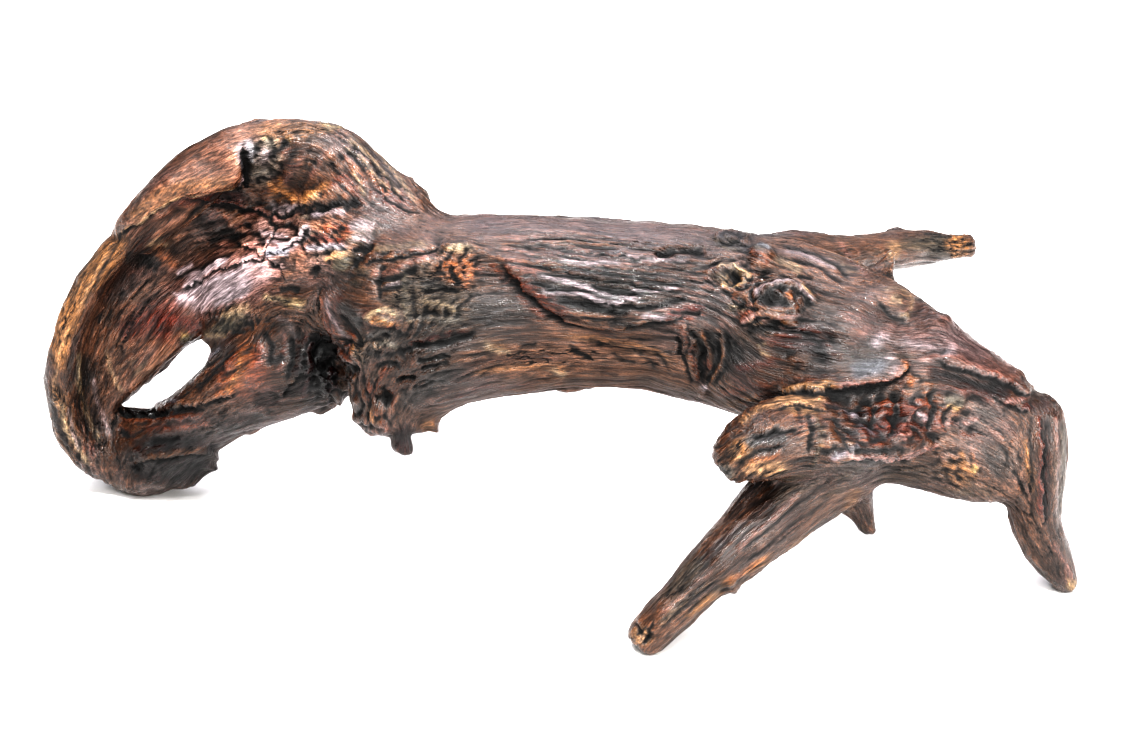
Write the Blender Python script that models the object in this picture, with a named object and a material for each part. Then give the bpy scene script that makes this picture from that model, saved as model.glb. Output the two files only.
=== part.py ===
"""A stout piece of driftwood: a trunk between a hooded root flare and a shoulder on two legs.

X runs along the trunk, +Y away from the front and +Z up. The form is laid out on a front view
sheet, the way the wood is seen from a little above: each station is (across, down, depth, half
width, half depth), where across, down and half width are sheet units and the depths are
millimetres. The limbs are lofted, joined by a voxel remesh, grown together at their forks,
carved and thinned out.
"""

import math

import bmesh
import bpy
import numpy as np
from mathutils import Vector, noise

MM = 0.001

# The front view: where the eye is, how far it looks down, and the sheet it draws on.
EYE_TILT = math.radians(22)
EYE_DISTANCE = 1560
LOOKED_AT = Vector((0, 0, 120))
SHEET_WIDTH = 1134
SHEET_HEIGHT = 756
SHEET_FOCUS = SHEET_WIDTH * 85 / 36
AHEAD = Vector((0, math.cos(EYE_TILT), -math.sin(EYE_TILT)))
SHEET_UP = Vector((0, math.sin(EYE_TILT), math.cos(EYE_TILT)))
EYE = LOOKED_AT - AHEAD * EYE_DISTANCE

VOXEL = 2.6
LOFT_SIDES = 24
LOFT_STEPS = 5
SHEET_STEPS = 4
HOOD_THICKNESS = 19
FORK_PASSES = 24
EASE_PASSES = 4
WANTED_TRIANGLES = 10400
LUMP_SIZE = 34
LUMP_HEIGHT = 3.2
LUMP_STRETCH = 2.2
LEDGE_EDGE = 3
LIP_RISE = 0.35
LIP_WIDTH = 6
# The feet are cut this far above the drawn ground, so that each stands on a small flat.
FLOOR_RISE = 2.4

LIMBS = {
    "trunk": [
        (352, 322, 22, 48, 34),
        (378, 324, 20, 92, 46),
        (420, 315, 18, 102, 52),
        (465, 308, 16, 95, 52),
        (530, 303, 14, 89, 50),
        (595, 304, 12, 85, 48),
        (660, 309, 8, 85, 48),
        (720, 318, 2, 88, 50),
        (780, 330, -6, 92, 52),
    ],
    "shoulder": [
        (770, 328, -4, 90, 50),
        (825, 350, -12, 92, 52),
        (870, 376, -20, 94, 52),
        (910, 398, -26, 87, 46),
        (952, 420, -30, 79, 40),
        (992, 438, -34, 68, 33),
        (1026, 448, -36, 54, 26),
    ],
    "right_leg": [
        (1048, 402, -36, 19, 16),
        (1042, 440, -36, 25, 22),
        (1037, 475, -37, 28, 22),
        (1036, 512, -38, 27, 20),
        (1046, 545, -38, 23, 16),
        (1059, 571, -38, 18, 13),
        (1071, 588, -38, 12, 10),
    ],
    "front_leg": [
        (840, 452, -36, 50, 40),
        (806, 484, -58, 44, 36),
        (770, 514, -76, 37, 30),
        (740, 544, -88, 32, 25),
        (708, 573, -98, 26, 21),
        (677, 603, -107, 23, 17),
        (653, 629, -112, 21, 15),
        (639, 645, -114, 19, 14),
    ],
    "horn": [
        (940, 412, -44, 40, 28),
        (890, 418, -58, 46, 34),
        (842, 427, -74, 45, 34),
        (800, 433, -87, 43, 31),
        (766, 443, -97, 40, 26),
        (741, 457, -104, 33, 21),
        (723, 471, -108, 19, 12),
    ],
    "spike": [
        (842, 455, -28, 36, 24),
        (850, 486, -29, 27, 17),
        (862, 512, -26, 15, 10),
        (870, 536, -24, 7, 5),
    ],
    "far_branch": [
        (730, 282, 12, 26, 20),
        (765, 270, 36, 36, 27),
        (815, 262, 62, 28, 22),
        (880, 254, 96, 21, 16),
        (925, 248, 124, 15, 13),
        (968, 246, 152, 14, 11),
    ],
    "spur": [
        (876, 290, 10, 18, 14),
        (885, 268, 14, 10, 8),
        (893, 247, 16, 5, 5),
    ],
    "strut": [
        (335, 338, 42, 58, 34),
        (292, 356, 52, 58, 36),
        (252, 382, 66, 48, 33),
        (212, 411, 82, 37, 28),
        (176, 436, 94, 38, 25),
        (143, 456, 103, 41, 24),
        (112, 464, 106, 26, 20),
    ],
    "foot_toe": [
        (200, 440, 92, 20, 16),
        (193, 462, 94, 19, 16),
        (182, 479, 97, 17, 14),
    ],
    "heel": [
        (470, 300, 22, 46, 30),
        (420, 292, 38, 72, 38),
        (360, 290, 50, 66, 38),
        (305, 318, 60, 54, 34),
        (255, 366, 72, 34, 26),
        (220, 400, 80, 18, 14),
    ],
    "nape": [
        (475, 264, 26, 30, 24),
        (418, 240, 46, 30, 24),
        (366, 216, 60, 38, 20),
        (320, 208, 68, 34, 14),
    ],
    "bowl_floor": [
        (372, 262, 24, 40, 30),
        (325, 258, 40, 38, 24),
        (282, 268, 56, 38, 18),
        (246, 288, 68, 32, 15),
        (214, 318, 80, 22, 13),
    ],
    "bowl_root": [
        (372, 300, 24, 62, 34),
        (325, 300, 38, 54, 28),
        (280, 306, 52, 40, 22),
        (240, 324, 66, 28, 18),
        (212, 342, 76, 12, 14),
    ],
    "end_root": [
        (398, 340, 8, 50, 36),
        (392, 378, 4, 40, 34),
        (384, 408, 0, 32, 26),
        (384, 428, -2, 20, 18),
    ],
    "end_nub": [
        (410, 395, 2, 24, 18),
        (424, 416, 0, 15, 12),
        (431, 428, 0, 8, 8),
    ],
    "hanging_knob": [
        (402, 420, -6, 15, 12),
        (403, 436, -8, 10, 8),
        (405, 449, -8, 13, 9),
    ],
    "flap": [
        (318, 332, 50, 24, 14),
        (326, 366, 54, 25, 12),
        (326, 392, 56, 21, 10),
        (321, 414, 58, 10, 6),
    ],
    "hood_rim": [
        (432, 240, 30, 22, 22),
        (404, 203, 48, 22, 24),
        (364, 175, 60, 23, 22),
        (336, 150, 68, 25, 20),
        (300, 141, 72, 24, 20),
        (253, 149, 74, 26, 20),
        (207, 175, 76, 28, 20),
        (162, 210, 78, 26, 18),
        (123, 248, 82, 18, 15),
        (92, 285, 84, 18, 12),
        (71, 330, 86, 18, 12),
        (61, 380, 88, 17, 12),
        (69, 428, 92, 17, 12),
        (93, 460, 98, 17, 14),
        (120, 472, 102, 16, 16),
    ],
}

# The hood is a cupped sheet of wood. Each row runs from its rim in to the trunk or the opening.
HOOD_ROWS = [
    [(424, 212, 44), (402, 222, 28), (378, 234, 15), (350, 248, 10), (320, 262, 18)],
    [(372, 162, 66), (358, 180, 48), (345, 198, 34), (325, 224, 28), (305, 250, 32)],
    [(338, 136, 78), (326, 162, 66), (315, 187, 54), (303, 215, 46), (290, 250, 44)],
    [(300, 130, 84), (293, 158, 80), (287, 185, 70), (282, 215, 58), (275, 252, 52)],
    [(250, 139, 88), (251, 167, 90), (252, 195, 84), (252, 222, 72), (250, 258, 62)],
    [(203, 169, 90), (210, 190, 98), (216, 212, 98), (224, 238, 88), (232, 275, 74)],
    [(158, 207, 90), (170, 224, 102), (182, 242, 106), (196, 264, 98), (216, 300, 82)],
    [(122, 247, 90), (137, 262, 104), (153, 278, 110), (172, 300, 104), (208, 332, 90)],
    [(93, 290, 90), (110, 303, 106), (130, 315, 113), (152, 332, 110), (184, 352, 98)],
    [(70, 340, 92), (88, 348, 108), (106, 354, 115), (126, 364, 114), (152, 380, 104)],
    [(57, 395, 94), (73, 400, 108), (88, 402, 115), (102, 405, 115), (122, 406, 108)],
    [(68, 437, 98), (80, 434, 108), (92, 432, 114), (104, 430, 113), (118, 428, 108)],
    [(92, 466, 101), (100, 460, 109), (107, 454, 112), (115, 449, 110), (125, 442, 108)],
]

# Steps in the front face: a line with the lower side to its left, its drop and its reach in mm.
LEDGES = [
    ([(452, 246), (504, 270), (560, 316), (621, 332), (667, 328), (700, 352), (712, 392)], 5.0, 30),
    ([(118, 244), (150, 206), (178, 194), (215, 191), (237, 184), (242, 150)], 7.0, 34),
    ([(750, 404), (776, 392), (827, 387), (879, 383), (899, 374), (920, 364)], 5.0, 26),
    ([(935, 386), (1003, 406), (1030, 396)], 4.0, 24),
    ([(262, 352), (300, 318), (322, 290)], 5.0, 22),
]

# Hollows and swellings on the front: place, half sizes across and down, turn, height in mm.
DABS = [
    (915, 412, 52, 26, 12, -9.0),
    (985, 440, 26, 22, 20, -4.0),
    (925, 408, 8, 9, 0, 5.0),
    (902, 430, 8, 8, 0, 5.0),
    (955, 403, 12, 8, 0, 3.0),
    (868, 452, 60, 10, -8, 4.0),
    (385, 320, 13, 10, 0, 6.0),
    (458, 250, 15, 8, 10, 5.0),
    (330, 269, 14, 11, -20, -6.0),
    (330, 268, 24, 18, -20, 3.0),
    (729, 237, 12, 8, 0, 4.0),
    (734, 277, 8, 6, 0, -5.0),
    (734, 277, 18, 12, 0, 3.5),
    (761, 260, 15, 10, 30, 6.0),
    (773, 296, 18, 12, 0, 6.0),
    (757, 320, 20, 6, -30, 3.0),
    (895, 301, 14, 9, 30, 4.0),
    (799, 362, 9, 8, 0, 3.0),
    (947, 320, 9, 8, 0, 3.5),
    (1018, 377, 9, 7, 0, 3.0),
    (270, 200, 40, 12, -25, -3.0),
    (285, 160, 26, 10, 20, 3.5),
    (250, 250, 34, 16, -35, 4.0),
    (190, 255, 36, 20, -38, -4.0),
    (590, 270, 110, 10, 8, 2.0),
    (600, 360, 70, 22, 0, -3.0),
    (430, 350, 40, 16, -20, -2.5),
    (706, 365, 10, 28, -14, -3.5),
    (381, 398, 9, 8, 0, -3.5),
    (135, 470, 12, 8, 0, -5.0),
    (734, 587, 9, 8, 0, 3.5),
    (800, 520, 46, 7, -40, -3.0),
    (640, 640, 9, 8, 0, -2.0),
]


# The same on the back: x and z in mm, half sizes along and up in mm, turn, height in mm.
BACK_DABS = [
    (-60, 168, 26, 14, 10, 3.5),
    (42, 188, 18, 10, -15, 4.0),
    (62, 142, 13, 11, 0, 5.0),
    (62, 142, 6, 5, 0, -5.0),
    (-20, 128, 60, 10, 4, -3.0),
    (120, 120, 30, 12, 25, -3.5),
    (192, 110, 16, 12, 0, 4.0),
    (-150, 192, 34, 16, -40, 4.0),
    (-205, 150, 18, 26, 20, -4.0),
    (-258, 112, 22, 14, -50, 3.5),
    (-288, 62, 12, 20, 10, 3.0),
    (-112, 140, 20, 14, 0, 4.0),
    (-170, 108, 14, 10, -30, 3.0),
    (0, 196, 50, 8, 3, 2.5),
]

# Dark reddish brown, oiled, worn paler along the grain.
WOOD_COLOUR = (0.098, 0.050, 0.034, 1)
WOOD_ROUGHNESS = 0.42


def clear_scene():
    for obj in list(bpy.data.objects):
        bpy.data.objects.remove(obj)


def from_sheet(across, down, depth):
    """The point that the front view shows at a place on the sheet, and one sheet unit there."""
    ray = AHEAD.copy()
    ray.x += (across - SHEET_WIDTH / 2) / SHEET_FOCUS
    ray -= SHEET_UP * ((down - SHEET_HEIGHT / 2) / SHEET_FOCUS)
    reach = (depth - EYE.y) / ray.y
    return EYE + ray * reach, reach / SHEET_FOCUS


def onto_sheet(points):
    """Where the front view shows each point."""
    seen = points - np.array(EYE)
    away = seen @ np.array(AHEAD)
    across = SHEET_WIDTH / 2 + SHEET_FOCUS * seen[:, 0] / away
    down = SHEET_HEIGHT / 2 - SHEET_FOCUS * (seen @ np.array(SHEET_UP)) / away
    return np.stack([across, down], axis=1)


def through_points(stations, steps):
    """Catmull-Rom curve through the stations, every column eased alike."""
    p = np.array(stations, float)
    p = np.vstack([2 * p[0] - p[1], p, 2 * p[-1] - p[-2]])
    rows = []
    for i in range(1, len(p) - 2):
        for k in range(steps):
            t = k / steps
            rows.append(
                0.5
                * (
                    2 * p[i]
                    + (p[i + 1] - p[i - 1]) * t
                    + (2 * p[i - 1] - 5 * p[i] + 4 * p[i + 1] - p[i + 2]) * t**2
                    + (3 * p[i] - p[i - 1] - 3 * p[i + 1] + p[i + 2]) * t**3
                )
            )
    rows.append(p[-2])
    return np.array(rows)


def skin_sections(name, sections):
    """One closed mesh over a row of closed sections with the same number of points."""
    bm = bmesh.new()
    rings = [[bm.verts.new(Vector(p) * MM) for p in ring] for ring in sections]
    count = len(rings[0])
    for a, b in zip(rings, rings[1:]):
        for i in range(count):
            j = (i + 1) % count
            bm.faces.new((a[i], a[j], b[j], b[i]))
    bm.faces.new(rings[0])
    bm.faces.new(rings[-1])
    bmesh.ops.recalc_face_normals(bm, faces=bm.faces)
    mesh = bpy.data.meshes.new(name)
    bm.to_mesh(mesh)
    bm.free()
    obj = bpy.data.objects.new(name, mesh)
    bpy.context.scene.collection.objects.link(obj)
    return obj


def loft_limb(name, stations):
    placed = []
    for across, down, depth, half_width, half_depth in stations:
        centre, unit = from_sheet(across, down, depth)
        placed.append((*centre, half_width * unit, half_depth))
    rows = through_points(placed, LOFT_STEPS)
    centres = [Vector(r[:3]) for r in rows]
    sections = []
    for i, (row, centre) in enumerate(zip(rows, centres)):
        along = (centres[min(i + 1, len(centres) - 1)] - centres[max(i - 1, 0)]).normalized()
        across = along.cross(AHEAD).normalized()
        deep = across.cross(along)
        ring = []
        for k in range(LOFT_SIDES):
            angle = 2 * math.pi * k / LOFT_SIDES
            ring.append(centre + across * (row[3] * math.cos(angle)) + deep * (row[4] * math.sin(angle)))
        sections.append(ring)
    return skin_sections(name, sections)


def hood_sheet(name, rows, thickness):
    placed = [[tuple(from_sheet(*p)[0]) for p in row] for row in rows]
    grid = np.array([through_points(row, SHEET_STEPS) for row in placed])
    columns = [through_points(grid[:, j], SHEET_STEPS) for j in range(grid.shape[1])]
    grid = np.stack(columns, axis=1)
    around = np.gradient(grid, axis=0)
    inward = np.gradient(grid, axis=1)
    normal = np.cross(around, inward)
    normal /= np.linalg.norm(normal, axis=2, keepdims=True)
    half = 0.5 * thickness * normal
    sections = [list(f) + list(b[::-1]) for f, b in zip(grid + half, grid - half)]
    return skin_sections(name, sections)


def join_by_remesh(name, pieces, voxel):
    """The union of the pieces as one closed mesh of even quads."""
    bm = bmesh.new()
    for piece in pieces:
        bm.from_mesh(piece.data)
    mesh = bpy.data.meshes.new(name)
    bm.to_mesh(mesh)
    bm.free()
    for piece in pieces:
        bpy.data.objects.remove(piece)
    obj = bpy.data.objects.new(name, mesh)
    bpy.context.scene.collection.objects.link(obj)
    remesh = obj.modifiers.new("Remesh", "REMESH")
    remesh.mode = "VOXEL"
    remesh.voxel_size = voxel * MM
    keep_shape(obj)
    return obj


def read_points(mesh):
    points = np.empty(len(mesh.vertices) * 3)
    mesh.vertices.foreach_get("co", points)
    return points.reshape(-1, 3) / MM


def write_points(mesh, points):
    mesh.vertices.foreach_set("co", (points * MM).ravel())
    mesh.update()


def read_normals(mesh):
    normals = np.empty(len(mesh.vertices) * 3)
    mesh.vertices.foreach_get("normal", normals)
    return normals.reshape(-1, 3)


def read_edges(mesh):
    edges = np.empty(len(mesh.edges) * 2, int)
    mesh.edges.foreach_get("vertices", edges)
    return edges.reshape(-1, 2)


def neighbour_mean(points, edges):
    """Mean of each vertex's neighbours."""
    total = np.zeros_like(points)
    for axis in range(3):
        total[:, axis] += np.bincount(edges[:, 0], points[edges[:, 1], axis], len(points))
        total[:, axis] += np.bincount(edges[:, 1], points[edges[:, 0], axis], len(points))
    count = np.bincount(edges.ravel(), minlength=len(points))
    return total / np.maximum(count, 1)[:, None]


def ease(mesh, passes):
    edges = read_edges(mesh)
    points = read_points(mesh)
    for step in range(passes):
        points += 0.5 * (neighbour_mean(points, edges) - points)
    write_points(mesh, points)


def fill_forks(mesh, passes):
    """Lets wood grow into the creases where limbs meet, and only there."""
    edges = read_edges(mesh)
    points = read_points(mesh)
    for step in range(passes):
        shift = neighbour_mean(points, edges) - points
        outward = np.einsum("ij,ij->i", shift, read_normals(mesh))
        points += shift * np.where(outward > 0, 0.9, 0.0)[:, None]
        write_points(mesh, points)


def side_of_line(places, line):
    """Distance of each place from a line on the sheet, plus to its left, and how far along."""
    best = np.full(len(places), 1e9)
    side = np.zeros(len(places))
    along = np.zeros(len(places))
    travelled = 0.0
    for start, end in zip(np.array(line[:-1], float), np.array(line[1:], float)):
        step = end - start
        length = np.linalg.norm(step)
        part = np.clip((places - start) @ step / length**2, 0, 1)
        gap = places - start - part[:, None] * step
        distance = np.linalg.norm(gap, axis=1)
        nearer = distance < best
        best[nearer] = distance[nearer]
        turn = gap[:, 0] * step[1] - gap[:, 1] * step[0]
        side[nearer] = np.where(turn < 0, distance, -distance)[nearer]
        along[nearer] = (travelled + part * length)[nearer]
        travelled += length
    return side, along / travelled


def dab_height(places, dabs):
    """Height of the swellings and hollows at each place."""
    height = np.zeros(len(places))
    for centre_a, centre_b, half_a, half_b, turn, rise in dabs:
        turn = math.radians(turn)
        x = places[:, 0] - centre_a
        y = places[:, 1] - centre_b
        a = (x * math.cos(turn) + y * math.sin(turn)) / half_a
        b = (y * math.cos(turn) - x * math.sin(turn)) / half_b
        height += rise * np.exp(-(a**2 + b**2))
    return height


def carve_front(mesh):
    """Works the ledges, hollows and knots into the surface that the front view shows."""
    points = read_points(mesh)
    normals = read_normals(mesh)
    places = onto_sheet(points)
    unit = EYE_DISTANCE / SHEET_FOCUS
    facing = np.clip(-(normals @ np.array(AHEAD)) * 3, 0, 1)
    height = np.zeros(len(points))
    for line, drop, reach in LEDGES:
        side, along = side_of_line(places, line)
        side = side * unit
        ends = np.clip(np.minimum(along, 1 - along) * 6, 0, 1)
        below = np.clip(side / LEDGE_EDGE + 0.5, 0, 1) * np.exp(-((np.maximum(side, 0) / reach) ** 2))
        above = np.exp(-(((side + LIP_WIDTH / 2) / LIP_WIDTH) ** 2))
        height += ends * drop * (LIP_RISE * above - below)
    height += dab_height(places, DABS)
    write_points(mesh, points + normals * (height * facing)[:, None])


def carve_back(mesh):
    points = read_points(mesh)
    normals = read_normals(mesh)
    facing = np.clip(normals[:, 1] * 2, 0, 1)
    height = dab_height(points[:, [0, 2]], BACK_DABS)
    write_points(mesh, points + normals * (height * facing)[:, None])


def add_lumps(mesh):
    """Long, low swellings that follow the trunk, all over the wood."""
    points = read_points(mesh)
    normals = read_normals(mesh)
    place = points / [LUMP_SIZE * LUMP_STRETCH, LUMP_SIZE, LUMP_SIZE] + [3, 7, 1]
    height = np.array([noise.noise(Vector(p)) for p in place])
    write_points(mesh, points + normals * (height * LUMP_HEIGHT)[:, None])


def thin_out(obj, wanted):
    """Fewer triangles, kept where the form turns."""
    obj.data.calc_loop_triangles()
    decimate = obj.modifiers.new("Thin out", "DECIMATE")
    decimate.ratio = wanted / len(obj.data.loop_triangles)


def level_feet(obj):
    """Cuts the three feet level with the surface that the wood stands on."""
    bm = bmesh.new()
    bmesh.ops.create_cube(bm, size=1)
    mesh = bpy.data.meshes.new("floor_cutter")
    bm.to_mesh(mesh)
    bm.free()
    cutter = bpy.data.objects.new("floor_cutter", mesh)
    cutter.location.z = FLOOR_RISE * MM - 0.5
    cutter.hide_render = True
    cutter.display_type = "WIRE"
    bpy.context.scene.collection.objects.link(cutter)
    cut = obj.modifiers.new("Level feet", "BOOLEAN")
    cut.operation = "DIFFERENCE"
    cut.object = cutter
    keep_shape(obj)
    bpy.data.objects.remove(cutter)


def keep_shape(obj):
    """Turns what the modifiers make into the object's own mesh."""
    graph = bpy.context.evaluated_depsgraph_get()
    obj.data = bpy.data.meshes.new_from_object(obj.evaluated_get(graph))
    obj.modifiers.clear()


def stand_at_origin(obj):
    """Puts the middle of the footprint at the origin with the feet at z = 0."""
    points = read_points(obj.data)
    low = points.min(axis=0)
    high = points.max(axis=0)
    write_points(obj.data, points - [(low[0] + high[0]) / 2, (low[1] + high[1]) / 2, low[2]])


def wood_material():
    material = bpy.data.materials.new("driftwood_wood")
    material.use_nodes = True
    shader = material.node_tree.nodes["Principled BSDF"]
    shader.inputs["Base Color"].default_value = WOOD_COLOUR
    shader.inputs["Roughness"].default_value = WOOD_ROUGHNESS
    shader.inputs["Metallic"].default_value = 0
    return material


def build():
    clear_scene()
    pieces = [loft_limb(name, stations) for name, stations in LIMBS.items()]
    pieces.append(hood_sheet("hood", HOOD_ROWS, HOOD_THICKNESS))
    wood = join_by_remesh("driftwood", pieces, VOXEL)
    fill_forks(wood.data, FORK_PASSES)
    ease(wood.data, EASE_PASSES)
    add_lumps(wood.data)
    carve_front(wood.data)
    carve_back(wood.data)
    ease(wood.data, 1)
    thin_out(wood, WANTED_TRIANGLES)
    level_feet(wood)
    stand_at_origin(wood)
    wood.data.shade_smooth()
    wood.data.materials.append(wood_material())


build()
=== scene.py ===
# Driftwood: one weathered and oiled piece of root wood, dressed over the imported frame
import math
import bmesh
import bpy
import numpy as np
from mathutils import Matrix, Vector
from mathutils.bvhtree import BVHTree


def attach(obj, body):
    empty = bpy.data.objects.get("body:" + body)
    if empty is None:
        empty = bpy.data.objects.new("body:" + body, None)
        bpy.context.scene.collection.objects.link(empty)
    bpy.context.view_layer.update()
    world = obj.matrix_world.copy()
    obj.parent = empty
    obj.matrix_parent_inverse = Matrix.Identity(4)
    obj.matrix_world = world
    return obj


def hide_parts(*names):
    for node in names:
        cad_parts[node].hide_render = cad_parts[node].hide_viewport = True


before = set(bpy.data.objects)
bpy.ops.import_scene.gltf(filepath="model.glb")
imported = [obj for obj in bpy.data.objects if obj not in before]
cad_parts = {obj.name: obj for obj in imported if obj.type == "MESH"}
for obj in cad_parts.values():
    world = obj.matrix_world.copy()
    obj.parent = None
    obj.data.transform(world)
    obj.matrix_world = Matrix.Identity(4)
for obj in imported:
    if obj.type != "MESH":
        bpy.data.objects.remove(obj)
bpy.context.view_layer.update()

print("driftwood: frame loaded")

viewPoint = {
    "wide": 1134, "high": 756,              # pixels of the picture
    "place": (0.0123, -1.4616, 0.7020),     # metres, the eye
    "tilt": 22.0,                           # degrees that the eye looks down
    "lens": 85.0, "sensor": 36.0,           # mm
    "depthShift": -0.0152,                  # metres from a limb's depth to the frame's y
}

lean = math.radians(viewPoint["tilt"])
eye = np.array(viewPoint["place"])
sightRight = np.array([1.0, 0.0, 0.0])
sightUp = np.array([0.0, math.sin(lean), math.cos(lean)])
sightAhead = np.array([0.0, math.cos(lean), -math.sin(lean)])
focus = viewPoint["lens"] / viewPoint["sensor"] * viewPoint["wide"]


def toPicture(points):
    rel = points - eye
    deep = rel @ sightAhead
    across = viewPoint["wide"] / 2 + focus * (rel @ sightRight) / deep
    down = viewPoint["high"] / 2 - focus * (rel @ sightUp) / deep
    return np.stack([across, down], axis=1)


def fromPicture(across, down, depthMm):
    ray = sightAhead + sightRight * (across - viewPoint["wide"] / 2) / focus
    ray = ray - sightUp * (down - viewPoint["high"] / 2) / focus
    y = depthMm / 1000 + viewPoint["depthShift"]
    return eye + ray * ((y - eye[1]) / ray[1])


# the run of the grain: each limb as (across, down) in the picture, depth mm, half width mm

limbRuns = {
    "trunk": [(352, 322, 22, 40), (420, 315, 18, 58), (530, 303, 14, 52), (660, 309, 8, 49),
              (780, 330, -6, 53)],
    "shoulder": [(770, 328, -4, 52), (870, 376, -20, 54), (952, 420, -30, 46),
                 (1026, 448, -36, 31)],
    "rightLeg": [(1048, 402, -36, 12), (1037, 475, -37, 16), (1046, 545, -38, 13),
                 (1071, 588, -38, 8)],
    "frontLeg": [(840, 452, -36, 29), (770, 514, -76, 22), (708, 573, -98, 16),
                 (639, 645, -114, 9)],
    "horn": [(940, 412, -44, 24), (842, 427, -74, 26), (766, 443, -97, 23), (723, 471, -108, 11)],
    "spike": [(842, 455, -28, 18), (862, 512, -26, 9), (870, 536, -24, 5)],
    "farBranch": [(730, 282, 12, 18), (815, 262, 62, 16), (880, 254, 96, 12), (968, 246, 152, 8)],
    "spur": [(876, 290, 10, 12), (893, 247, 16, 5)],
    "strut": [(335, 338, 42, 30), (252, 382, 66, 28), (176, 436, 94, 22), (112, 464, 106, 16)],
    "toe": [(200, 440, 92, 12), (182, 479, 97, 9)],
    "nape": [(475, 264, 26, 18), (366, 216, 60, 20), (320, 208, 68, 16)],
    "bowl": [(420, 292, 26, 30), (340, 262, 44, 26), (270, 262, 56, 26), (205, 300, 70, 24),
             (140, 372, 84, 22), (104, 440, 96, 18)],
    "endRoot": [(398, 340, 8, 26), (384, 408, 0, 20), (404, 446, -4, 8)],
    "flap": [(318, 332, 50, 14), (321, 414, 58, 8)],
    "hoodRim": [(432, 240, 30, 14), (364, 175, 60, 14), (300, 141, 72, 14), (207, 175, 76, 16),
                (123, 248, 82, 12), (71, 330, 86, 12), (69, 428, 92, 12), (120, 472, 102, 12)],
}

# grain lines read off the front: points (across, down), then the reach in pixels
grainLines = [
    ([(93, 468), (62, 425), (55, 375), (68, 325), (92, 280), (125, 240), (162, 205), (208, 172),
      (254, 146), (300, 132), (340, 136), (368, 160), (402, 196), (440, 226)], 20),
    ([(420, 262), (350, 238), (290, 215), (232, 222), (184, 252), (138, 305), (106, 360), (96, 410),
      (110, 455)], 24),
    ([(400, 285), (330, 268), (262, 275), (215, 305), (172, 345), (135, 385), (114, 425)], 20),
    ([(330, 150), (352, 190), (392, 216), (440, 240)], 16),
    ([(330, 350), (290, 345), (250, 365), (205, 395), (160, 412), (125, 418)], 16),
    ([(318, 400), (270, 408), (215, 425), (160, 448), (130, 462)], 16),
    ([(322, 290), (328, 325), (345, 360)], 12),
    ([(505, 268), (455, 278), (420, 300), (398, 340), (378, 384), (378, 424)], 16),
    ([(560, 330), (500, 318), (455, 328), (420, 352), (398, 392), (402, 440)], 16),
    ([(440, 228), (520, 222), (600, 228), (680, 234), (740, 244), (800, 266), (850, 292),
      (900, 312)], 16),
    ([(480, 252), (535, 264), (604, 279), (660, 288), (700, 290), (748, 306)], 18),
    ([(470, 300), (530, 298), (600, 312), (660, 312), (708, 318)], 18),
    ([(440, 362), (520, 345), (600, 345), (672, 345)], 18),
    ([(430, 402), (500, 380), (570, 370), (640, 370), (690, 384), (742, 412)], 18),
    ([(694, 322), (704, 352), (702, 386), (724, 404)], 13),
    ([(722, 322), (732, 350), (762, 376), (806, 386)], 14),
    ([(760, 266), (812, 284), (866, 290), (930, 310), (985, 345), (1032, 385)], 22),
    ([(800, 322), (850, 340), (900, 345), (955, 348), (1012, 380)], 20),
    ([(776, 393), (815, 391), (860, 385), (900, 374), (940, 360), (985, 374), (1031, 397)], 12),
    ([(872, 402), (826, 404), (780, 416), (748, 448), (722, 474)], 16),
    ([(872, 442), (820, 436), (782, 452), (750, 476)], 14),
    ([(866, 470), (820, 500), (770, 536), (720, 576), (668, 616), (642, 640)], 22),
    ([(823, 464), (870, 464), (917, 458), (962, 472), (1010, 500), (1040, 540)], 16),
    ([(1056, 398), (1056, 450), (1056, 520), (1066, 560), (1073, 586)], 12),
    ([(1034, 404), (1034, 470), (1040, 530)], 12),
    ([(842, 486), (862, 516), (870, 536)], 10),
    ([(760, 238), (830, 240), (900, 240), (965, 242)], 12),
]

# knots that the grain parts round: across, down, radius px
grainEyes = [
    (460, 250, 14), (733, 238, 12), (733, 274, 16), (893, 300, 26), (342, 262, 12), (778, 302, 20),
    (281, 338, 17), (886, 402, 9), (911, 382, 9), (906, 432, 9),
]

grainRun = {
    "stretch": 11.0,            # how many times longer than wide the grain pattern is
    "limbCore": 0.15,           # keeps one limb from outweighing all others on its middle line
    "linePull": 6.0,            # how much a drawn line counts against the limbs
    "eyePull": 14.0,            # how much a knot counts that the grain parts round
    "eyeWide": 0.55,            # width of the ring round such a knot, in its radii
    "cells": (0.018, 0.007),    # metres, the two coarse steps of the solve
    "rounds": (60, 24),         # turns of the solve at each of the two steps
    "inner": (30, 24),          # gradient steps in each turn
    "fineSteps": 60,            # gradient steps on the fine skin
    "evening": 6,               # passes that even the directions out on the fine skin
    "voxel": 0.00130,           # metres, the fine skin
    "triangles": 192000,        # of the finished piece
}

# how the front view is tested: cosine past edge on, cosines to fade in over, then in metres how
# far off the skin a ray starts and how far it runs
sightTest = {"pastEdge": 0.02, "fade": 0.15, "clear": 0.004, "reach": 0.6}


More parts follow.
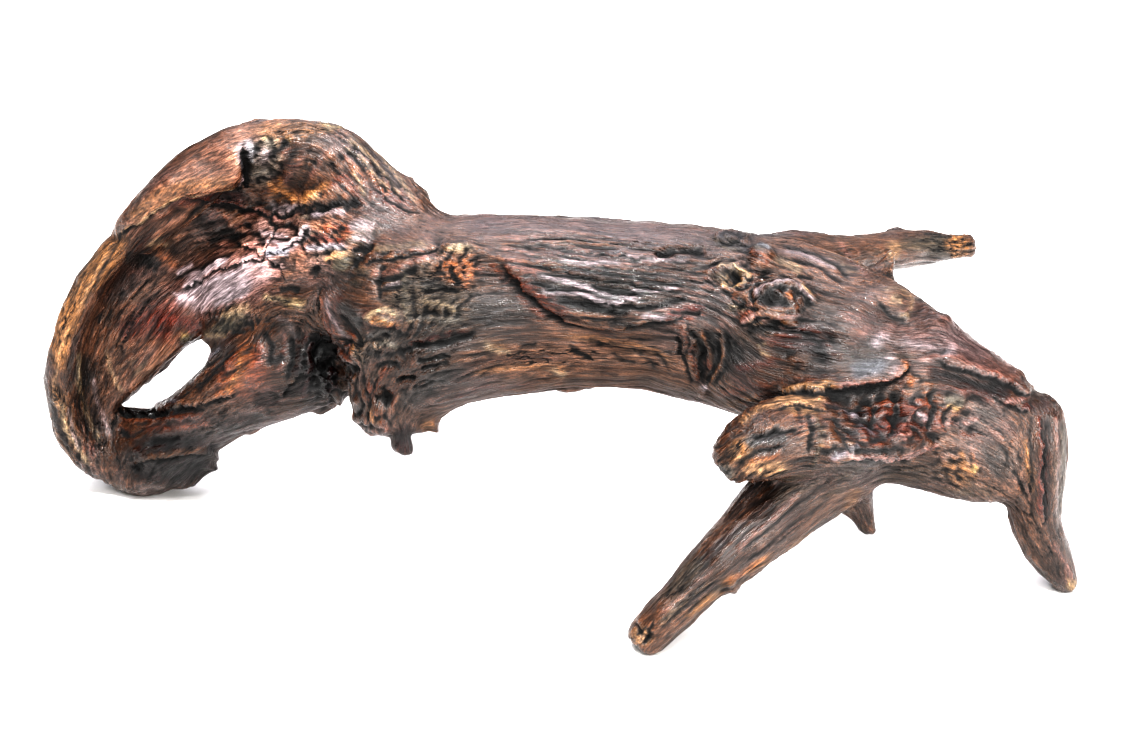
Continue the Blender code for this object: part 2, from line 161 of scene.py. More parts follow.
def polyDistance(places, line):
    # distance in px to a drawn line, its direction there, the side, and the share along it
    best = np.full(len(places), 1e9)
    way = np.zeros((len(places), 2))
    side = np.zeros(len(places))
    along = np.zeros(len(places))
    line = np.array(line, float)
    lengths = np.linalg.norm(np.diff(line, axis=0), axis=1)
    total = lengths.sum()
    walked = 0.0
    for start, step, length in zip(line[:-1], np.diff(line, axis=0), lengths):
        rel = places - start
        part = np.clip((rel @ step) / (length * length), 0, 1)
        gap = rel - part[:, None] * step
        dist = np.hypot(gap[:, 0], gap[:, 1])
        near = dist < best
        best[near] = dist[near]
        way[near] = step / length
        turn = (step[0] * rel[:, 1] - step[1] * rel[:, 0]) / length
        side[near] = np.sign(turn[near])
        along[near] = (walked + part[near] * length) / total
        walked += length
    return best, way, side, along


def outerSum(tensor, weight, ways):
    tensor += weight[:, None, None] * ways[:, :, None] * ways[:, None, :]


# knots and small holes over the sides that the front view doesn't see
farKnots = {
    "count": 20, "seed": 7,
    "smallMm": 5.0, "largeMm": 11.0,    # radius
    "apartMm": 42.0, "riseMm": 2.2,
    "holes": 0.35,                      # share of them that are holes
    "offFloor": 0.025,                  # metres, none stands lower
    "hidden": 0.02,                     # what counts as not seen from the front
    "pull": 6.0,                        # how much the grain parts round them
    "ringAt": 1.2, "ringWide": 0.6,     # the ring where it parts, in radii
}


def scatterKnots(points, seen):
    draw = np.random.default_rng(farKnots["seed"])
    free = np.nonzero((seen < farKnots["hidden"]) & (points[:, 2] > farKnots["offFloor"]))[0]
    chosen = []
    for i in draw.permutation(free):
        gaps = [np.linalg.norm(points[i] - spot) * 1000 for spot, size, hole in chosen]
        if all(gap > farKnots["apartMm"] for gap in gaps):
            chosen.append((points[i], draw.uniform(farKnots["smallMm"], farKnots["largeMm"]),
                           draw.uniform() < farKnots["holes"]))
        if len(chosen) == farKnots["count"]:
            break
    return chosen


def flowTensor(points, normals, seen):
    # which way the grain lies at each point, from the limbs and from the drawn lines
    tensor = np.zeros((len(points), 3, 3))
    for run in limbRuns.values():
        places = [fromPicture(a, d, y) for a, d, y, w in run]
        halves = [w / 1000 for a, d, y, w in run]
        for a, b, ra, rb in zip(places[:-1], places[1:], halves[:-1], halves[1:]):
            step = b - a
            part = np.clip(((points - a) @ step) / (step @ step), 0, 1)
            gap = np.linalg.norm(points - a - part[:, None] * step, axis=1)
            gap = gap / (ra + (rb - ra) * part)
            weight = 1 / (grainRun["limbCore"] + gap ** 5)
            way = np.broadcast_to(step / np.linalg.norm(step), points.shape)
            outerSum(tensor, weight, way)
    tensor /= np.trace(tensor, axis1=1, axis2=2)[:, None, None]
    places = toPicture(points)
    rays = points - eye
    rays = rays / np.linalg.norm(rays, axis=1)[:, None]

    def onSurface(way):
        flat = sightRight * way[:, :1] - sightUp * way[:, 1:]
        lay = np.cross(normals, np.cross(rays, flat))
        return lay / np.maximum(np.linalg.norm(lay, axis=1), 1e-9)[:, None]

    for line, reach in grainLines:
        dist, way, side, along = polyDistance(places, line)
        weight = seen * grainRun["linePull"] * np.exp(-(dist / reach) ** 2)
        outerSum(tensor, weight, onSurface(way))
    for across, down, radius in grainEyes:
        rel = places - (across, down)
        dist = np.hypot(rel[:, 0], rel[:, 1])
        around = np.stack([-rel[:, 1], rel[:, 0]], axis=1) / np.maximum(dist, 1e-6)[:, None]
        off = (dist - radius) / (grainRun["eyeWide"] * radius)
        outerSum(tensor, seen * grainRun["eyePull"] * np.exp(-off ** 2), onSurface(around))
    for spot, size, hole in scattered:
        rel = (points - spot) * 1000
        dist = np.linalg.norm(rel, axis=1)
        around = np.cross(normals, rel)
        around /= np.maximum(np.linalg.norm(around, axis=1), 1e-6)[:, None]
        off = (dist - farKnots["ringAt"] * size) / (farKnots["ringWide"] * size)
        outerSum(tensor, farKnots["pull"] * np.exp(-off ** 2), around)
    return tensor


def mainWay(tensor, normals):
    flat = np.eye(3) - normals[:, :, None] * normals[:, None, :]
    laid = flat @ tensor @ flat
    return np.linalg.eigh(laid)[1][:, :, 2]     # the strongest way of the three


class Web:
    # a graph of points with its edges sorted by first end, for quick sums over neighbours
    def __init__(self, count, pairs):
        both = np.concatenate([pairs, pairs[:, ::-1]])
        both = both[np.argsort(both[:, 0], kind="stable")]
        self.first = both[:, 0]
        self.second = both[:, 1]
        self.degree = np.bincount(self.first, minlength=count)
        self.starts = np.concatenate([[0], np.cumsum(self.degree)[:-1]])

    def total(self, perEdge):
        return np.add.reduceat(perEdge, self.starts, axis=0)

    def mean(self, values):
        summed = self.total(values[self.second])
        shape = (-1,) + (1,) * (values.ndim - 1)
        return summed / self.degree.reshape(shape)

    def relax(self, values, passes, share=0.5):
        for step in range(passes):
            values = values + share * (self.mean(values) - values)
        return values


def settle(web, place, wanted, weights, rounds):
    # conjugate gradients: the places whose edge steps come nearest to the wanted ones
    rim = web.total(weights)[:, None]

    def pull(x):
        return rim * x - web.total(weights[:, None] * x[web.second])

    goal = -web.total(weights[:, None] * wanted)
    rest = goal - pull(place)
    tuned = rest / rim
    way = tuned.copy()
    score = (rest * tuned).sum(axis=0)
    for step in range(rounds):
        moved = pull(way)
        rate = score / np.maximum((way * moved).sum(axis=0), 1e-30)
        place = place + rate * way
        rest = rest - rate * moved
        tuned = rest / rim
        fresh = (rest * tuned).sum(axis=0)
        way = tuned + (fresh / np.maximum(score, 1e-30)) * way
        score = fresh
    return place


def nearestTurn(matrices):
    u, s, vt = np.linalg.svd(matrices)
    flip = np.sign(np.linalg.det(u @ vt))
    u[:, :, 2] *= flip[:, None]
    return u @ vt


def unroll(web, points, squash, place, turns, rounds, inner):
    # the grain coordinates of one level: true across the grain, pressed together along it
    step = points[web.second] - points[web.first]
    size = np.linalg.norm(step, axis=1)
    weights = np.ones(len(step))
    for go in range(rounds):
        local = turns @ squash
        carried = (local[web.first] + local[web.second]) / 2
        wanted = np.einsum("eij,ej->ei", carried, step)
        if go > rounds // 2:
            miss = np.linalg.norm(place[web.second] - place[web.first] - wanted, axis=1)
            weights = 1 / (1 + (miss / (0.3 * size)) ** 2)
            weights = np.maximum(weights, 0.02)
        place = settle(web, place, wanted, weights, inner)
        ideal = np.einsum("eij,ej->ei", squash[web.first], step)
        found = place[web.second] - place[web.first]
        fit = web.total(weights[:, None, None] * found[:, :, None] * ideal[:, None, :])
        turns = nearestTurn(fit + 1e-12 * np.eye(3))
    return place, turns


def clusters(points, cell):
    keys = np.floor(points / cell).astype(np.int64)
    keys = keys[:, 0] * 1000003 + keys[:, 1] * 1009 + keys[:, 2]
    names, index = np.unique(keys, return_inverse=True)
    return index.ravel(), len(names)


def clusterMean(index, count, values):
    flat = values.reshape(len(values), -1)
    cols = [np.bincount(index, flat[:, c], count) for c in range(flat.shape[1])]
    size = np.bincount(index, minlength=count)
    return (np.stack(cols, axis=1) / size[:, None]).reshape((count,) + values.shape[1:])


def grainPlaces(web, pairs, points, normals, seen):
    tall = grainRun["stretch"]
    place = None
    for cell, rounds, inner in zip(grainRun["cells"], grainRun["rounds"], grainRun["inner"]):
        index, count = clusters(points, cell)
        mid = clusterMean(index, count, points)
        up = clusterMean(index, count, normals)
        up /= np.maximum(np.linalg.norm(up, axis=1), 1e-9)[:, None]
        face = clusterMean(index, count, seen)
        links = np.sort(index[pairs], axis=1)
        links = np.unique(links[links[:, 0] != links[:, 1]], axis=0)
        small = Web(count, links)
        tensor = small.relax(flowTensor(mid, up, face), 2)
        way = mainWay(tensor, up)
        squash = np.eye(3) - (1 - 1 / tall) * way[:, :, None] * way[:, None, :]
        if place is None:
            place = mid.copy()
            turns = np.broadcast_to(np.eye(3), (count, 3, 3)).copy()
        else:
            parent = np.zeros(count, int)
            parent[index] = lastIndex
            local = (turns @ lastSquash)[parent]
            place = place[parent] + np.einsum("nij,nj->ni", local, mid - lastPoints[parent])
            turns = turns[parent]
        place, turns = unroll(small, mid, squash, place, turns, rounds, inner)
        lastIndex, lastPoints, lastSquash = index, mid, squash
    ways = way[index]
    ways = mainWay(web.relax(ways[:, :, None] * ways[:, None, :], grainRun["evening"]), normals)
    spun = nearestTurn(web.relax(turns[index], grainRun["evening"]))
    local = spun @ (np.eye(3) - (1 - 1 / tall) * ways[:, :, None] * ways[:, None, :])
    begin = place[index] + np.einsum("nij,nj->ni", local, points - mid[index])
    step = points[web.second] - points[web.first]
    wanted = np.einsum("eij,ej->ei", (local[web.first] + local[web.second]) / 2, step)
    return settle(web, begin, wanted, np.ones(len(step)), grainRun["fineSteps"])


def fineSkin(source):
    # the solid's own surface, smoothed from its facets and remeshed finely
    shell = bmesh.new()
    shell.from_mesh(source.data)
    bmesh.ops.remove_doubles(shell, verts=shell.verts, dist=1e-6)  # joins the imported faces
    base = bpy.data.meshes.new("driftwoodBase")
    shell.to_mesh(base)
    shell.free()
    body = bpy.data.objects.new("driftwoodWood", base)
    bpy.context.scene.collection.objects.link(body)
    soften = body.modifiers.new("soften", "SUBSURF")
    soften.levels = 2
    skin = body.modifiers.new("skin", "REMESH")
    skin.mode = "VOXEL"
    skin.voxel_size = grainRun["voxel"]
    graph = bpy.context.evaluated_depsgraph_get()
    mesh = bpy.data.meshes.new_from_object(body.evaluated_get(graph))
    body.modifiers.clear()
    body.data = mesh
    mesh.name = "driftwoodWood"
    mesh.materials.clear()
    return body


def readPoints(mesh):
    flat = np.zeros(len(mesh.vertices) * 3)
    mesh.vertices.foreach_get("co", flat)
    return flat.reshape(-1, 3)


def writePoints(mesh, points):
    mesh.vertices.foreach_set("co", points.ravel())
    mesh.update()


def readNormals(mesh):
    flat = np.zeros(len(mesh.vertices) * 3)
    mesh.vertex_normals.foreach_get("vector", flat)
    return flat.reshape(-1, 3)


def readPairs(mesh):
    flat = np.zeros(len(mesh.edges) * 2, np.int64)
    mesh.edges.foreach_get("vertices", flat)
    return flat.reshape(-1, 2)


def seenFromFront(source, points, normals):
    # 1 where the front view sees the wood, 0 behind and under other limbs
    tree = BVHTree.FromObject(source, bpy.context.evaluated_depsgraph_get())
    toEye = eye - points
    toEye /= np.linalg.norm(toEye, axis=1)[:, None]
    facing = (normals * toEye).sum(axis=1)
    seen = np.clip((facing + sightTest["pastEdge"]) / sightTest["fade"], 0, 1)
    starts = points + normals * sightTest["clear"] + toEye * sightTest["clear"]
    for i in np.nonzero(seen > 0)[0]:
        hit = tree.ray_cast(Vector(starts[i]), Vector(toEye[i]), sightTest["reach"])
        if hit[0] is not None:
            seen[i] = 0.0
    return seen


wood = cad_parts["driftwood"]
body = fineSkin(wood)
mesh = body.data
pairs = readPairs(mesh)
points = readPoints(mesh)
web = Web(len(points), pairs)
points = web.relax(points, 6)
writePoints(mesh, points)
normals = readNormals(mesh)
print("driftwood: fine skin of", len(points), "points")
seen = web.relax(seenFromFront(wood, points, normals), 2)
scattered = scatterKnots(points, seen)
print("driftwood: front seen, and", len(scattered), "knots laid out behind it")
grain = grainPlaces(web, pairs, points, normals, seen)
print("driftwood: grain laid")


# noise on a lattice, for the relief and the tones

latticeSeed = np.random.default_rng(41)
latticeWays = latticeSeed.normal(size=(4096, 3))
latticeWays /= np.linalg.norm(latticeWays, axis=1)[:, None]


def latticeNoise(places, layer):
    # smooth noise, about -1 to 1, one bump per unit
    cell = np.floor(places).astype(np.int64)
    part = places - cell
    ease = part * part * part * (part * (part * 6 - 15) + 10)
    total = np.zeros(len(places))
    for dx in (0, 1):
        wx = ease[:, 0] if dx else 1 - ease[:, 0]
        for dy in (0, 1):
            wy = ease[:, 1] if dy else 1 - ease[:, 1]
            for dz in (0, 1):
                wz = ease[:, 2] if dz else 1 - ease[:, 2]
                key = (cell[:, 0] + dx) * 73856093 ^ (cell[:, 1] + dy) * 19349663
                key = key ^ (cell[:, 2] + dz) * 83492791 ^ (layer * 7919 + 17)
                ways = latticeWays[(key ^ (key >> 12)) & 4095]
                corner = ((part - (dx, dy, dz)) * ways).sum(axis=1)
                total += wx * wy * wz * corner
    return total * 1.7


def step01(value, low, high):
    t = np.clip((value - low) / (high - low), 0, 1)
    return t * t * (3 - 2 * t)


def crest(value):
    # sharp ridges with round valleys between them, 0 to 1
    return 1 - np.minimum(np.abs(value) * 1.9, 1)


# grabs: where the outline is drawn out or pushed in, seen from the front

# across, down, move across, move down, reach px
grabs = [
    (325, 392, 2, 7, 5), (338, 398, 2, 7, 5), (331, 399, -1, -5, 3), (346, 372, 3, 3, 4),
    (344, 384, -4, -3, 4), (113, 238, 3, 3, 4), (210, 470, 6, -2, 8), (404, 448, 0, 4, 5),
    (392, 440, 0, -3, 5), (430, 424, 3, 2, 5), (736, 590, -1, 3, 5), (352, 372, 3, 3, 5),
    (360, 396, -5, 4, 7), (876, 530, 2, 2, 6), (968, 240, 3, -2, 6), (970, 258, 2, 1, 6),
    (133, 410, -9, -6, 9), (207, 348, 6, -5, 8), (212, 456, 5, 3, 5), (206, 466, 5, 5, 5),
    (160, 482, 2, 5, 7), (214, 448, -5, -2, 4), (416, 440, -5, -4, 6), (396, 432, 4, -2, 5),
    (397, 446, -3, 1, 4), (410, 452, 2, 3, 4), (434, 428, 3, 4, 4), (372, 430, 0, 3, 5),
    (355, 418, -3, 2, 5), (128, 484, 0, 4, 5), (80, 460, -3, 2, 6),
]

# long openings spread wider: points along the middle, px to each side, reach px
spreads = [([(122, 406), (146, 396), (176, 370), (212, 340)], 4.5, 13)]


def grabOutline(points, places):
    # moves points across the line of sight, as a sculptor's grab brush does
    shift = np.zeros((len(points), 2))
    for across, down, toRight, toDown, reach in grabs:
        gap = np.hypot(places[:, 0] - across, places[:, 1] - down)
        shift += np.exp(-(gap / reach) ** 2)[:, None] * (toRight, toDown)
    for line, wide, reach in spreads:
        near = np.nonzero(np.abs(places - np.mean(line, axis=0)).max(axis=1) < 90)[0]
        dist, way, side, along = polyDistance(places[near], line)
        push = side * wide * np.exp(-(dist / reach) ** 2) * step01(dist, 0.0, 2.0)
        push *= step01(along, 0.0, 0.25) * step01(along, 1.0, 0.8)
        shift[near] += push[:, None] * np.stack([-way[:, 1], way[:, 0]], axis=1)
    deep = (points - eye) @ sightAhead
    world = shift / focus * deep[:, None]
    return points + world[:, :1] * sightRight - world[:, 1:] * sightUp


# relief: what stands proud of the skin or is cut in it, read off the front

relief = {
    "swellMm": (26.0, 1.1),             # size across and height of the slow swells
    "ridgeMm": (4.8, 0.85),             # wavy ridges, 4 to 5 mm apart from crest to crest
    "fineMm": (2.9, 0.4),               # small ridges between them
    "crackMm": (9.0, 0.9),              # long drying cracks
    "hairMm": (4.2, 0.45),              # short hair cracks
    "bendMm": 13,                       # how far apart the bends of the ridges and cracks are
    "patchMm": 22,                      # patches of stronger and weaker ridges
    "crackPatchMm": 26,                 # patches where long cracks open
    "hairPatchMm": 12,                  # and where hair cracks do
    "ridgeTimes": (1.5, 0.55),          # on the unseen sides, and how much less in front
    "fineTimes": (1.3, 0.3),
    "wander": ((15, 1.3), (6.5, 0.5)),  # how ledges stray: size mm, share of their spacing
    "brokenMm": 18,                     # and where they break off
    "ledgeShares": (0.8, 0.2),          # of the spacing, for the slope and for the steep side
    "wobble": ((8, 3.4), (3.5, 1.2)),   # shake of the drawn lines: size mm, px to each side
    "strokeUp": 0.55, "strokeIn": 0.8,  # share of a stroke's rise that is carved
    "strokeSoft": 0.9,                  # px added to its reach
}

# zones of stronger or weaker ridges: across, down, half width, half height, turn, ridge, fine
ridgeZones = [
    (600, 272, 150, 44, 4, 0.9, 1.0), (580, 226, 160, 16, 2, 0.12, 0.3),
    (570, 366, 130, 32, 0, 0.5, 1.2), (960, 345, 90, 44, 30, 0.15, 0.3),
    (870, 350, 40, 40, 0, 0.15, 0.3), (400, 232, 60, 20, 0, 0.2, 0.4),
    (1052, 470, 18, 70, 0, 0.25, 0.8), (1066, 570, 16, 30, 0, 0.25, 0.6),
    (200, 174, 96, 30, -38, 0.12, 0.35), (95, 262, 30, 50, 30, 0.6, 1.4),
    (60, 360, 16, 80, 0, 0.6, 1.4), (260, 230, 70, 34, 0, 0.4, 0.7),
    (310, 170, 80, 44, 10, 0.35, 0.8), (210, 285, 66, 44, -24, 0.25, 0.6),
    (780, 432, 50, 34, -30, 0.35, 1.2), (900, 425, 80, 34, 0, 0.8, 1.4),
    (440, 330, 60, 60, 0, 0.9, 1.3), (740, 290, 60, 40, 0, 1.2, 1.3),
    (690, 600, 60, 30, -40, 0.5, 1.1), (780, 524, 90, 30, -40, 0.5, 1.0),
    (870, 245, 90, 16, 0, 0.5, 0.8), (236, 372, 70, 44, -30, 0.4, 0.9),
    (176, 440, 60, 34, 0, 0.6, 1.0), (330, 370, 34, 44, 0, 1.5, 1.5),
    (355, 175, 40, 34, 40, 0.6, 1.1),
]

# overlapping ledges with a steep lower side: across, down, half width, half height, turn,
# spacing px, height mm
ledgeZones = [
    (612, 276, 130, 42, 7, 8.0, 1.9), (560, 240, 90, 18, 3, 9.0, 0.8),
    (240, 226, 60, 20, -18, 10.0, 1.2), (364, 174, 34, 30, 48, 6.5, 1.4),
    (432, 300, 52, 40, -62, 10.0, 1.7), (440, 366, 50, 26, -8, 9.0, 1.3),
    (704, 354, 26, 34, 80, 7.0, 1.9), (205, 382, 70, 18, -34, 8.0, 1.6),
    (760, 540, 110, 26, -42, 7.5, 0.9), (780, 440, 44, 26, -24, 7.0, 0.8),
    (790, 326, 46, 24, 6, 9.0, 1.6), (880, 470, 60, 14, 2, 7.0, 1.0),
    (1050, 460, 16, 60, 88, 6.0, 0.8), (140, 330, 50, 60, -52, 8.0, 0.8),
    (80, 300, 20, 80, 108, 6.0, 0.8), (320, 366, 24, 36, 70, 8.0, 2.0),
    (322, 238, 30, 30, 40, 8.0, 1.2),
]

# lumpy places: across, down, half width, half height, lump mm, height mm
lumpZones = [
    (900, 414, 76, 32, 12.0, 2.6), (262, 160, 24, 30, 7.0, 1.6), (372, 404, 24, 34, 9.0, 2.6),
    (735, 275, 34, 16, 7.0, 1.8), (300, 224, 44, 34, 12.0, 1.2), (232, 322, 30, 16, 6.0, 1.4),
    (766, 300, 46, 30, 10.0, 2.0), (458, 262, 26, 20, 7.0, 1.8), (330, 372, 30, 40, 8.0, 2.4),
    (400, 345, 36, 22, 8.0, 1.8), (724, 474, 16, 14, 5.0, 0.9), (956, 470, 30, 20, 6.0, 1.0),
    (960, 245, 18, 16, 5.0, 1.0), (300, 150, 60, 24, 9.0, 1.2), (840, 440, 30, 18, 8.0, 2.2),
]

# wide hollows and swells that shape the front: across, down, half width, half height, turn, mm
shapeDabs = [
    (236, 236, 96, 26, -12, -6.0), (150, 300, 50, 60, 38, -3.5), (180, 168, 80, 16, -38, 2.6),
    (262, 158, 22, 28, 0, -3.0), (300, 150, 40, 24, 10, 1.8), (322, 366, 24, 34, 0, -6.0),
    (720, 352, 24, 30, 6, -5.0), (752, 348, 20, 18, 0, -3.0), (900, 414, 74, 30, 0, -4.0),
    (870, 398, 60, 8, -4, -3.0), (842, 432, 30, 16, 0, -2.0), (256, 368, 30, 20, -30, 2.5),
    (372, 322, 22, 30, 0, 2.0), (448, 262, 46, 10, 6, 2.5), (430, 300, 40, 26, -60, -2.0),
    (540, 300, 60, 10, 34, -2.0), (620, 262, 80, 16, 5, 1.5), (700, 390, 6, 6, 0, 1.5),
    (60, 330, 14, 90, 6, 1.2), (222, 292, 50, 20, -28, 1.6), (306, 222, 26, 12, 36, 2.5),
    (270, 206, 70, 8, 3, -3.0), (180, 216, 40, 8, -22, -3.0), (348, 204, 30, 8, 10, -2.0),
]

# torn lips and ledges: points, which side stands up (+1 is right of the way drawn), rise mm,
# reach px
lips = [
    ([(113, 237), (137, 223), (156, 207), (177, 194), (196, 194), (217, 190), (238, 186),
      (243, 172), (239, 154), (241, 140)], -1, 3.0, 16),
    ([(180, 200), (216, 206), (262, 210), (306, 204), (346, 198)], -1, 1.4, 12),
    ([(226, 236), (244, 246), (262, 256)], -1, 2.0, 8),
    ([(309, 226), (288, 244), (266, 256)], 1, 2.0, 8),
    ([(266, 256), (240, 262), (210, 272), (180, 290)], 1, 1.5, 9),
    ([(264, 212), (266, 234), (264, 254)], 1, 1.4, 8),
    ([(288, 278), (276, 266), (266, 257)], 1, 1.4, 7),
    ([(343, 150), (366, 168), (386, 196)], 1, 1.6, 8),
    ([(352, 146), (380, 172), (404, 204)], 1, 1.6, 8),
    ([(372, 190), (396, 208), (420, 216)], 1, 1.4, 8),
    ([(321, 287), (325, 322), (341, 354), (351, 368)], -1, 3.0, 9),
    ([(498, 262), (532, 298), (563, 321), (604, 329), (640, 326), (690, 314)], -1, 1.7, 26),
    ([(535, 262), (566, 274), (604, 280), (650, 288), (695, 291)], -1, 1.8, 7),
    ([(548, 292), (590, 301), (640, 306), (676, 306)], -1, 1.8, 7),
    ([(560, 248), (610, 258), (656, 262), (700, 262)], -1, 1.6, 7),
    ([(741, 324), (762, 318), (780, 322), (798, 328)], -1, 3.2, 9),
    ([(752, 300), (776, 288), (802, 294), (812, 306)], -1, 2.4, 8),
    ([(776, 394), (815, 391), (860, 385), (889, 381), (903, 373), (914, 365)], -1, 3.6, 12),
    ([(940, 360), (962, 368), (985, 374), (1016, 386), (1031, 397)], -1, 3.4, 12),
    ([(994, 398), (1012, 405), (1028, 411)], -1, 2.0, 7),
    ([(823, 462), (849, 459), (889, 458), (917, 456), (940, 445)], -1, 2.8, 9),
    ([(826, 408), (800, 402), (776, 408)], 1, 1.6, 8),
    ([(118, 408), (150, 412), (200, 404), (236, 392)], -1, 2.4, 8),
    ([(132, 462), (170, 456), (212, 450)], -1, 2.2, 8),
    ([(330, 388), (337, 360), (349, 340)], 1, 2.4, 8),
    ([(282, 400), (300, 372), (306, 336)], -1, 2.4, 8),
    ([(362, 262), (400, 256), (440, 250)], -1, 2.0, 9),
    ([(1040, 412), (1042, 470), (1044, 530)], 1, 1.8, 8),
    ([(686, 322), (697, 350), (700, 384)], 1, 2.2, 7),
]

# cracks: points, width px, depth mm
cracks = [
    ([(410, 348), (440, 344), (478, 332)], 2.4, 2.6), ([(415, 362), (448, 354)], 2.2, 2.2),
    ([(420, 370), (450, 362)], 2.2, 2.2), ([(393, 381), (415, 378)], 2.2, 2.2),
    ([(656, 256), (684, 249), (708, 253)], 3.4, 2.6), ([(569, 350), (593, 359)], 1.8, 1.4),
    ([(354, 266), (364, 250), (372, 246)], 2.4, 2.0),
    ([(684, 330), (694, 356), (699, 388)], 2.6, 2.2),
    ([(706, 328), (708, 356), (702, 388)], 2.6, 2.2),
    ([(718, 330), (716, 360), (706, 388)], 2.4, 2.0),
    ([(676, 334), (684, 362), (694, 386)], 2.2, 1.8),
    ([(118, 410), (142, 414), (169, 411)], 4.0, 3.2), ([(146, 443), (180, 440)], 3.0, 2.2),
    ([(670, 312), (703, 314)], 2.4, 1.6), ([(340, 314), (352, 330), (362, 350)], 3.0, 2.4),
    ([(196, 207), (240, 211), (290, 212), (330, 206)], 2.4, 1.1),
    ([(246, 190), (248, 170), (244, 150)], 3.0, 2.2),
    ([(385, 262), (377, 280), (380, 300)], 2.2, 1.6),
    ([(843, 470), (806, 498), (770, 528), (734, 560)], 1.8, 1.0),
    ([(820, 510), (780, 540), (742, 566)], 1.8, 1.0),
    ([(720, 580), (690, 602), (660, 628)], 1.7, 0.9),
    ([(1046, 414), (1044, 470), (1046, 527)], 1.8, 1.0), ([(1058, 440), (1059, 520)], 1.6, 0.7),
    ([(1012, 470), (1030, 500)], 2.2, 1.4), ([(752, 440), (776, 430), (800, 430)], 2.8, 2.0),
    ([(735, 466), (756, 452), (786, 446)], 2.2, 1.6), ([(634, 622), (650, 640)], 1.8, 1.6),
    ([(655, 622), (644, 644)], 1.8, 1.4), ([(516, 238), (580, 240), (640, 246)], 2.0, 1.3),
    ([(540, 316), (600, 320), (660, 318)], 2.2, 1.6),
    ([(730, 300), (742, 306), (760, 312)], 2.4, 2.0),
    ([(420, 292), (440, 288), (462, 292)], 2.2, 1.6),
    ([(404, 318), (430, 312), (452, 316)], 2.2, 1.6),
    ([(312, 330), (316, 360), (312, 392)], 3.0, 2.6),
    ([(862, 392), (880, 404), (874, 424)], 2.6, 2.2),
    ([(894, 388), (900, 410), (890, 440)], 2.6, 2.2),
    ([(930, 388), (938, 410), (932, 434)], 2.6, 2.2),
]

# knots: across, down, half width, half height, rise mm, ring px
knots = [
    (385, 318, 18, 8, 1.1, 0), (460, 250, 17, 6, 1.8, 0), (733, 238, 16, 6, 1.6, 2.6),
    (731, 273, 20, 9, 2.0, 3.0), (893, 300, 25, 14, 1.2, 0), (906, 316, 6, 4, 1.2, 0),
    (798, 364, 13, 12, 0.9, 0), (342, 262, 11, 10, 1.8, 0), (778, 300, 25, 13, 2.2, 4.2),
    (155, 211, 4, 3, 0.7, 0), (185, 338, 5, 4, 0.7, 0), (761, 258, 12, 13, 2.0, 0),
    (375, 416, 13, 10, 1.0, 3.4), (314, 196, 6, 5, 1.6, 0), (303, 204, 5, 5, 1.4, 0),
    (948, 318, 7, 5, 0.9, 0), (1018, 375, 7, 4, 0.9, 0), (886, 402, 9, 8, 2.0, 0),
    (911, 381, 8, 6, 1.8, 0), (906, 432, 9, 7, 2.0, 0), (946, 404, 10, 8, 1.4, 0),
    (734, 587, 5, 4, 1.0, 0),
]

# small hollows: across, down, half width, half height, turn degrees, depth mm
hollows = [
    (735, 279, 5, 4, 0, 3.4), (772, 303, 9, 5, 0, 2.8), (314, 271, 6, 5, 0, 3.0),
    (386, 397, 5, 4, 0, 3.0), (378, 418, 4, 4, 0, 2.0), (135, 470, 6, 5, 0, 2.8),
    (310, 240, 14, 8, 30, 2.4), (338, 230, 14, 6, -10, 2.2), (280, 262, 18, 4, -20, 2.0),
    (870, 396, 7, 6, 0, 2.2), (898, 416, 10, 5, 0, 2.8), (936, 436, 8, 6, 0, 2.4),
    (955, 420, 8, 5, 0, 2.2), (850, 402, 12, 4, -6, 2.4), (880, 440, 14, 5, 0, 2.6),
    (975, 400, 10, 5, 10, 2.2), (246, 326, 18, 7, -20, 2.4), (318, 350, 8, 14, 10, 3.0),
    (306, 384, 10, 8, 0, 2.6), (402, 352, 14, 6, -10, 2.2), (362, 330, 8, 14, 10, 2.4),
    (808, 320, 10, 7, 0, 2.2), (826, 340, 14, 6, 20, 1.8), (346, 346, 5, 12, 0, 3.0),
]


